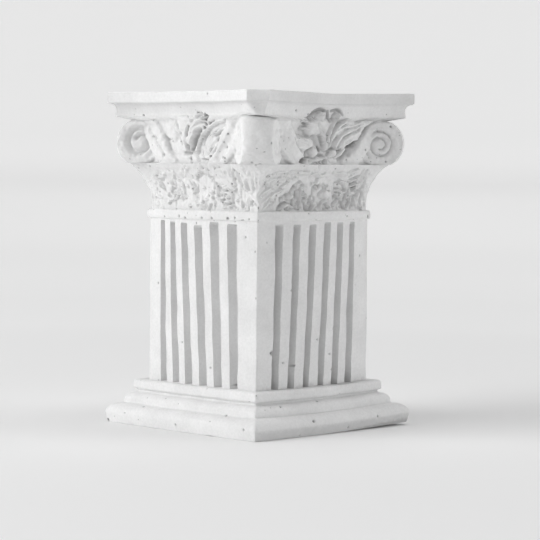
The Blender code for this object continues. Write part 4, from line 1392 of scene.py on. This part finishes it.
    def _shades(
        self, x: np.ndarray, y: np.ndarray, z: np.ndarray, depths: np.ndarray, shaded_faces: np.ndarray
    ) -> list[np.ndarray]:
        """The painted shade, which stands in for shadow in the photograph.

        Args:
            x: places of the points.
            y: places of the points.
            z: places of the points.
            depths: how deep the carving is cut at each point.
            shaded_faces: 1 on the right face and its opposite.

        Returns:
            A share for each point: on the plinth, in the flutes, on the slab's edge, in a wedge at the
            plinth's foot, and under the slab on the other two faces.
        """
        plinth = smoothstep((self.base.plinth_top + 0.4 - z) / 1.2) * shaded_faces
        fluted = shaded_faces * smoothstep(depths - 1.5) * (z < self.band.foot)
        flute_share = self.flute_shade + self.flute_foot_shade * smoothstep((17.5 - z) / 3.5)
        fascia = between(z, 96.5, 0.3, self.abacus.top - 0.1, 0.1)
        fascia = fascia * smoothstep((np.abs(y) - np.abs(x) + 3.6) / 0.6)
        wedge = self.wedge_height * smoothstep((-x * np.sign(y) - 2.0) / 22.0)
        under_slab = between(z, 93.0, 0.8, 96.9, 0.5)
        return [
            self.plinth_shade * plinth,
            fluted * flute_share,
            self.fascia_shade * fascia,
            shaded_faces * smoothstep((wedge - z) / 0.3 + 0.5) * (wedge > 0.1),
            self.slab_shade * under_slab * (1.0 - shaded_faces),
        ]

    def build(self) -> bpy.types.Object:
        """The finished casting.

        Returns:
            Its object, one mesh.
        """
        rings, depths = self.rings()
        piece = self._wrapped(rings, self.darkness(rings, depths))
        self._weather(piece.data)
        self._thin(piece)
        return piece

    def _wrapped(self, rings: np.ndarray, darkness: np.ndarray) -> bpy.types.Object:
        """A grid wrapped round the column through the rings, welded at its seam and capped.

        Args:
            rings: every ring of the casting.
            darkness: how dark each point is painted, as shade.

        Returns:
            The casting's object, which carries the painted shade as an attribute.
        """
        rows, columns = rings.shape[:2]
        mesh = bmesh.new()
        bmesh.ops.create_grid(mesh, x_segments=columns, y_segments=rows - 1, size=1.0)
        mesh.verts.ensure_lookup_table()
        places = (np.concatenate([rings, rings[:, :1]], axis=1) * MM).reshape(-1, 3).tolist()
        shares = np.concatenate([darkness, darkness[:, :1]], axis=1).ravel().tolist()
        # The painted shade of each point, kept as an attribute.
        hollow = mesh.verts.layers.float.new(HOLLOW)
        for vertex, place, share in zip(mesh.verts, places, shares):
            vertex.co = place
            vertex[hollow] = share
        seam = [mesh.verts[row * (columns + 1) + end] for row in range(rows) for end in (0, columns)]
        bmesh.ops.remove_doubles(mesh, verts=seam, dist=WELD)
        open_edges = [edge for edge in mesh.edges if edge.is_boundary]
        bmesh.ops.holes_fill(mesh, edges=open_edges, sides=0)
        bmesh.ops.triangulate(mesh, faces=[face for face in mesh.faces if len(face.verts) > 4])
        bmesh.ops.recalc_face_normals(mesh, faces=mesh.faces)
        data = bpy.data.meshes.new("pedestal_casting")
        mesh.to_mesh(data)
        mesh.free()
        piece = bpy.data.objects.new("pedestal_casting", data)
        bpy.context.scene.collection.objects.link(piece)
        return piece

    def _weather(self, data: bpy.types.Mesh) -> None:
        """Pull, roughen and pit the surface, and note where it is pitted, for the painted shade in the pits.

        Args:
            data: the casting's mesh, changed in place.
        """
        points = np.zeros(len(data.vertices) * 3)
        data.vertices.foreach_get("co", points)
        points = points.reshape(-1, 3) / MM
        normals = np.zeros(len(data.vertices) * 3, np.float32)
        data.vertex_normals.foreach_get("vector", normals)
        normals = normals.reshape(-1, 3).astype(float)
        z = points[:, 2]
        side_on = between(z, 0.0, 0.4, self.abacus.top, 0.2)
        rough_share = 1.0 - self.calm_share
        rough = self.calm_share + rough_share * smoothstep((z - 64.5) / 1.5) * smoothstep((93.5 - z) / 1.5)
        push = Unevenness(16.0, 0.05, 5).at(points) + Unevenness(5.0, 0.02, 6).at(points)
        push += rough * (Unevenness(1.7, 0.06, 7).at(points) + Unevenness(0.8, 0.035, 8).at(points))
        moved_points = points + normals * (push * side_on)[:, None]
        # Painted shade in the pits: darkest at each bubble's middle.
        pit_shade = np.zeros(len(points))
        for centre, radius, depth in self._bubbles(points):
            near = np.flatnonzero(np.abs(points - centre).max(axis=1) < radius)
            if not len(near):
                continue
            ratio = np.linalg.norm(points[near] - centre, axis=1) / radius
            bowl = np.sqrt(np.clip(1.0 - ratio ** 2, 0.0, 1.0))
            moved_points[near] -= normals[near] * (depth * bowl)[:, None]
            pit_shade[near] = np.maximum(pit_shade[near], bowl)
        for nudge in self.nudges:
            distance = np.linalg.norm(points - np.array(nudge.middle), axis=1) / nudge.radius
            moved_points += np.exp(-distance ** 2)[:, None] * np.array(nudge.shift)
        data.vertices.foreach_set("co", (moved_points * MM).ravel())
        pitted = data.attributes.new(PITTED, "FLOAT", "POINT")
        pitted.data.foreach_set("value", pit_shade.astype(np.float32))
        data.update()

    def _bubbles(self, points: np.ndarray) -> list[tuple[np.ndarray, float, float]]:
        """Where the burst bubbles are: the named ones and a scatter of small ones.

        Args:
            points: every point of the surface, in millimetres.

        Returns:
            The middle, radius and depth of each bubble.
        """
        bubbles = []
        for pit in self.pits:
            cos, sin = math.cos(pit.side.angle), math.sin(pit.side.angle)
            along = points[:, 0] * cos + points[:, 1] * sin
            out = points[:, 0] * sin - points[:, 1] * cos
            gap = np.hypot(along - pit.place[0], points[:, 2] - pit.place[1]) - 0.2 * out
            bubbles.append((points[np.argmin(gap)], pit.radius, pit.depth))
        bubbles += [(np.array(place), radius, radius) for place, radius in self.rim_pits]
        rng = np.random.default_rng(self.bubble_seed)
        crowded, plain = (
            np.flatnonzero((points[:, 2] > low) & (points[:, 2] < high))
            for low, high in (self.carved_heights, self.plain_heights)
        )
        for index in range(self.small_bubbles):
            pool = crowded if index % 3 else plain
            radius = 0.15 + 0.25 * rng.random() ** 3
            bubbles.append((points[rng.choice(pool)], radius, 1.1 * radius))
        return bubbles

    def _thin(self, piece: bpy.types.Object) -> None:
        """Thin the mesh where it is flat, and mark its sharp edges.

        Args:
            piece: the casting, whose mesh is replaced.
        """
        faces = sum(len(polygon.vertices) - 2 for polygon in piece.data.polygons)
        thin = piece.modifiers.new("thin flat areas", "DECIMATE")
        thin.ratio = min(1.0, self.triangles / faces)
        graph = bpy.context.evaluated_depsgraph_get()
        thinned = bpy.data.meshes.new_from_object(piece.evaluated_get(graph))
        piece.modifiers.clear()
        piece.data = thinned
        thinned.shade_smooth()
        thinned.set_sharp_from_angle(angle=self.sharp_angle)


@dataclass(frozen=True)
class Graph:
    """A tree of shader nodes that is built up node by node."""

    tree: bpy.types.NodeTree

    def add(self, kind: str, inputs: dict, **settings: "str | bpy.types.NodeTree") -> bpy.types.Node:
        """A new node.

        Args:
            kind: the node's type, without its first word.
            inputs: a constant or another node's output for each input named or numbered.
            settings: the node's own settings.

        Returns:
            The node.
        """
        node = self.tree.nodes.new(f"Shader{kind}")
        for name, value in settings.items():
            setattr(node, name, value)
        self.feed(node, inputs)
        return node

    def feed(self, node: bpy.types.Node, inputs: dict) -> None:
        """Set or link a node's inputs.

        Args:
            node: the node.
            inputs: a constant or another node's output for each input named or numbered.
        """
        for name, value in inputs.items():
            if isinstance(value, bpy.types.NodeSocket):
                self.tree.links.new(value, node.inputs[name])
            else:
                node.inputs[name].default_value = value


@dataclass(frozen=True)
class Grain:
    """The fine grain and pinholes that every plaster face has, with painted shade in the pinholes, as one
    node group.
    """

    name: str = "plaster_grain"
    cloud_scale: float = 120.0
    pinhole_share: float = 0.16
    solid_share: float = 0.22
    grain_height: float = 0.35

    def group(self) -> bpy.types.NodeTree:
        """The group of nodes.

        Returns:
            A group that takes the place on the object and two scales and gives a tone and a height.
        """
        tree = bpy.data.node_groups.new(self.name, "ShaderNodeTree")
        face, graph = tree.interface, Graph(tree)
        face.new_socket("Place", in_out="INPUT", socket_type="NodeSocketVector")
        for name in ("Grain Scale", "Pinhole Scale"):
            face.new_socket(name, in_out="INPUT", socket_type="NodeSocketFloat")
        for name in ("Tone", "Height"):
            face.new_socket(name, in_out="OUTPUT", socket_type="NodeSocketFloat")
        start = tree.nodes.new("NodeGroupInput").outputs
        end = tree.nodes.new("NodeGroupOutput")
        place = start["Place"]
        fine = graph.add("NodeTexNoise", {
            "Vector": place, "Scale": start["Grain Scale"], "Detail": 5.0, "Roughness": 0.6,
        }).outputs["Fac"]
        cloud = graph.add("NodeTexNoise", {
            "Vector": place, "Scale": self.cloud_scale, "Detail": 3.0,
        }).outputs["Fac"]
        cells = graph.add("NodeTexVoronoi", {"Vector": place, "Scale": start["Pinhole Scale"]}).outputs
        hole = graph.add("NodeMapRange", {
            "From Min": 0.0, "From Max": self.pinhole_share, "Value": cells["Distance"],
        }).outputs["Result"]
        red = graph.add("NodeSeparateColor", {"Color": cells["Color"]}).outputs["Red"]
        solid = self._sum(graph, "GREATER_THAN", red, self.solid_share)
        open_cell = self._sum(graph, "MAXIMUM", hole, solid)
        height = self._sum(graph, "MULTIPLY_ADD", fine, self.grain_height, open_cell)
        half_fine = self._sum(graph, "MULTIPLY", fine, 0.5)
        tone = self._sum(graph, "MULTIPLY_ADD", cloud, 0.5, half_fine)
        # Painted shade in the pinholes: the tone falls to nothing inside them.
        graph.feed(end, {"Tone": self._sum(graph, "MULTIPLY", tone, open_cell), "Height": height})
        return tree

    @staticmethod
    def _sum(graph: Graph, operation: str, *values: "bpy.types.NodeSocket | float") -> bpy.types.NodeSocket:
        """The result of a sum on constants and other nodes' outputs."""
        return graph.add("NodeMath", dict(enumerate(values)), operation=operation).outputs["Value"]


@dataclass(frozen=True)
class Plaster:
    """White cast plaster: matt, a little cloudy, with fine grain, pinholes, and painted shade in its pits,
    hollows and cuts and on some faces.
    """

    name: str = "white_plaster"
    dark: Colour = (0.70, 0.70, 0.70, 1.0)
    light: Colour = (0.84, 0.84, 0.84, 1.0)
    pit_shade_tone: Colour = (0.26, 0.26, 0.26, 1.0)
    hollow_shade_tone: Colour = (0.46, 0.46, 0.46, 1.0)
    shine: float = 0.3
    tones: Place = (0.3, 0.7)
    roughness: Place = (0.95, 0.78)
    grain_scale: float = 1400.0
    pinhole_scale: float = 900.0
    bump_strength: float = 0.35
    bump_distance: float = 0.00012

    def material(self, grain: bpy.types.NodeTree) -> bpy.types.Material:
        """The finish as a material.

        Args:
            grain: the group of grain and pinholes.

        Returns:
            A material that reads only the place on the object and the casting's two attributes.
        """
        material = bpy.data.materials.new(self.name)
        material.use_nodes = True
        graph = Graph(material.node_tree)
        place = graph.add("NodeTexCoord", {}).outputs["Object"]
        texture = graph.add("NodeGroup", {}, node_tree=grain)
        graph.feed(texture, {
            "Grain Scale": self.grain_scale, "Pinhole Scale": self.pinhole_scale, "Place": place,
        })
        tone, height = texture.outputs["Tone"], texture.outputs["Height"]
        white_share = graph.add("NodeMapRange", {
            "From Min": self.tones[0], "From Max": self.tones[1], "Value": tone,
        }).outputs["Result"]
        colour = self._mix(graph, white_share, self.dark, self.light)
        # Painted shade: darker in the pits, and in the hollows, cuts and shaded faces.
        for name, darker in ((PITTED, self.pit_shade_tone), (HOLLOW, self.hollow_shade_tone)):
            share = graph.add("NodeAttribute", {}, attribute_name=name).outputs["Fac"]
            colour = self._mix(graph, share, colour, darker)
        dull = graph.add("NodeMapRange", {
            "To Min": self.roughness[0], "To Max": self.roughness[1], "Value": tone,
        }).outputs["Result"]
        bump = graph.add("NodeBump", {
            "Strength": self.bump_strength, "Distance": self.bump_distance, "Height": height,
        }).outputs["Normal"]
        graph.feed(material.node_tree.nodes["Principled BSDF"], {
            "Specular IOR Level": self.shine, "Base Color": colour, "Roughness": dull, "Normal": bump,
        })
        return material

    @staticmethod
    def _mix(
        graph: Graph, share: bpy.types.NodeSocket, start: "bpy.types.NodeSocket | Colour", end: Colour
    ) -> bpy.types.NodeSocket:
        """A colour between two, by a share from 0 to 1."""
        return graph.add("NodeMix", {0: share, 6: start, 7: end}, data_type="RGBA").outputs[2]


@dataclass(frozen=True)
class Bowl:
    """A pale floor that rises gently all round into a seamless backdrop, in metres.

    The paper gives off a light of its own, which grows with the distance from the object.
    """

    flat_radius: float = 0.45
    outer_radius: float = 4.5
    rise: float = 1.6
    steps: int = 40
    turns: int = 96
    tone: float = 0.85
    lowered: float = 0.00005
    glow_reach: float = 3.0
    glows: tuple[Place, ...] = (
        (0.0, 0.02), (3.0, 0.61), (0.2, 0.03), (0.38, 0.08), (0.7, 0.17), (1.14, 0.28), (1.55, 0.39),
        (1.88, 0.53), (2.17, 0.57), (2.6, 0.6),
    )

    def build(self) -> bpy.types.Object:
        """The floor, marked as no part of the object.

        Returns:
            The floor's object.
        """
        mesh = bmesh.new()
        start = mesh.verts.new((0.0, 0.0, -self.lowered))
        profile, edges = [start], []
        for step in range(self.steps + 1):
            share = step / self.steps
            radius = self.flat_radius + (self.outer_radius - self.flat_radius) * share
            point = mesh.verts.new((radius, 0.0, self.rise * share ** 3 - self.lowered))
            edges.append(mesh.edges.new((profile[-1], point)))
            profile.append(point)
        bmesh.ops.spin(
            mesh, geom=profile + edges, cent=(0.0, 0.0, 0.0), axis=(0.0, 0.0, 1.0),
            angle=TURN, steps=self.turns, use_merge=True,
        )
        bmesh.ops.remove_doubles(mesh, verts=mesh.verts, dist=WELD)
        bmesh.ops.recalc_face_normals(mesh, faces=mesh.faces)
        data = bpy.data.meshes.new("floor")
        mesh.to_mesh(data)
        mesh.free()
        for polygon in data.polygons:
            polygon.use_smooth = True
        floor = bpy.data.objects.new("floor", data)
        bpy.context.scene.collection.objects.link(floor)
        data.materials.append(self.paper())
        floor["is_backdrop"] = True
        return floor

    def paper(self) -> bpy.types.Material:
        """Matt pale paper with its glow.

        Returns:
            The material.
        """
        material = bpy.data.materials.new("pale_paper")
        material.use_nodes = True
        graph = Graph(material.node_tree)
        place = graph.add("NodeTexCoord", {}).outputs["Object"]
        reach = graph.add("NodeVectorMath", {0: place}, operation="LENGTH").outputs["Value"]
        share = graph.add("NodeMath", {0: reach, 1: self.glow_reach}, operation="DIVIDE").outputs["Value"]
        glow = graph.add("NodeValToRGB", {"Fac": share})
        ramp = glow.color_ramp
        ramp.interpolation = "CARDINAL"
        for index, (place_out, level) in enumerate(self.glows):
            stop = ramp.elements[index] if index < 2 else ramp.elements.new(place_out / self.glow_reach)
            stop.position = place_out / self.glow_reach
            stop.color = (level, level, level, 1.0)
        graph.feed(material.node_tree.nodes["Principled BSDF"], {
            "Base Color": (self.tone, self.tone, self.tone, 1.0), "Roughness": 0.95,
            "Specular IOR Level": 0.1, "Emission Strength": 1.0, "Emission Color": glow.outputs["Color"],
        })
        return material


@dataclass(frozen=True)
class Softbox:
    """A round soft light that looks at the pedestal's middle."""

    name: str
    azimuth: float
    elevation: float
    distance: float
    size: float
    power: float

    def build(self) -> bpy.types.Object:
        """The light in place.

        Returns:
            The light's object.
        """
        lamp = bpy.data.lights.new(self.name, "AREA")
        lamp.shape = "DISK"
        lamp.size = self.size
        lamp.energy = self.power
        light = bpy.data.objects.new(self.name, lamp)
        bpy.context.scene.collection.objects.link(light)
        turn, climb = math.radians(self.azimuth), math.radians(self.elevation)
        away = Vector((
            math.sin(turn) * math.cos(climb), -math.cos(turn) * math.cos(climb), math.sin(climb)
        ))
        light.location = Vector((0.0, 0.0, 0.05)) + away * self.distance
        light.rotation_mode = "QUATERNION"
        light.rotation_quaternion = (-away).to_track_quat("-Z", "Y")
        return light


@dataclass(frozen=True)
class Camera:
    """The camera at the photograph's angle, in metres and degrees, for a picture 540 wide."""

    focal: float = 2189.0
    width: float = 540.0
    turn: float = 44.60
    distance: float = 0.664
    aside: float = 0.0035
    height: float = 0.0809
    pitch: float = 2.95
    roll: float = 0.518
    sensor: float = 36.0

    def build(self) -> bpy.types.Object:
        """The camera, made the scene's own.

        Returns:
            The camera's object.
        """
        turn, pitch, roll = (math.radians(angle) for angle in (self.turn, self.pitch, self.roll))
        level_right = Vector((math.cos(turn), -math.sin(turn), 0.0))
        level_ahead = Vector((math.sin(turn), math.cos(turn), 0.0))
        level_up = Vector((0.0, 0.0, 1.0))
        ahead = level_ahead * math.cos(pitch) - level_up * math.sin(pitch)
        up = level_ahead * math.sin(pitch) + level_up * math.cos(pitch)
        rolled_right = level_right * math.cos(roll) + up * math.sin(roll)
        rolled_up = up * math.cos(roll) - level_right * math.sin(roll)
        lens = bpy.data.cameras.new("camera")
        lens.sensor_width = self.sensor
        lens.lens = self.focal / self.width * self.sensor
        camera = bpy.data.objects.new("camera", lens)
        bpy.context.scene.collection.objects.link(camera)
        axes = Matrix((rolled_right, rolled_up, -ahead)).transposed().to_4x4()
        axes.translation = level_right * self.aside - level_ahead * self.distance + level_up * self.height
        camera.matrix_world = axes
        bpy.context.scene.camera = camera
        return camera


@dataclass(frozen=True)
class Studio:
    """Floor, lights, surroundings and camera."""

    ambient: float = 0.02
    lights: tuple[Softbox, ...] = (
        Softbox("key", -116.0, 26.0, 1.5, 1.4, 16.5),
        Softbox("top", 0.0, 88.0, 1.5, 1.4, 10.5),
        Softbox("right", 50.0, 17.0, 1.5, 1.4, 8.5),
        Softbox("back", 135.0, 30.0, 1.5, 1.4, 1.6),
    )

    def build(self) -> None:
        """Everything round the pedestal."""
        Bowl().build()
        for light in self.lights:
            light.build()
        world = bpy.data.worlds.new("studio")
        world.use_nodes = True
        shade = world.node_tree.nodes["Background"]
        shade.inputs["Color"].default_value = (1.0, 1.0, 1.0, 1.0)
        shade.inputs["Strength"].default_value = self.ambient
        bpy.context.scene.world = world
        bpy.context.scene.view_settings.view_transform = "Standard"
        Camera().build()


def corners(box: tuple[Vector, Vector]) -> list[list[float]]:
    """A box's two corners as plain lists."""
    return [list(corner) for corner in box]


def main() -> None:
    """Build the casting and the studio in order."""
    logging.basicConfig(level=logging.INFO, format="%(name)s: %(message)s")
    cad_box = corners(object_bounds())
    piece = Casting().build()
    piece.data.materials.clear()
    piece.data.materials.append(Plaster().material(Grain().group()))
    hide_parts("pedestal")
    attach(piece, "root")
    log.info("%s: %d faces", piece.name, len(piece.data.polygons))
    Studio().build()
    log.info("floor, lights and camera in place")
    {"cad": cad_box, "visual": corners(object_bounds())}


if __name__ == "__main__":
    main()
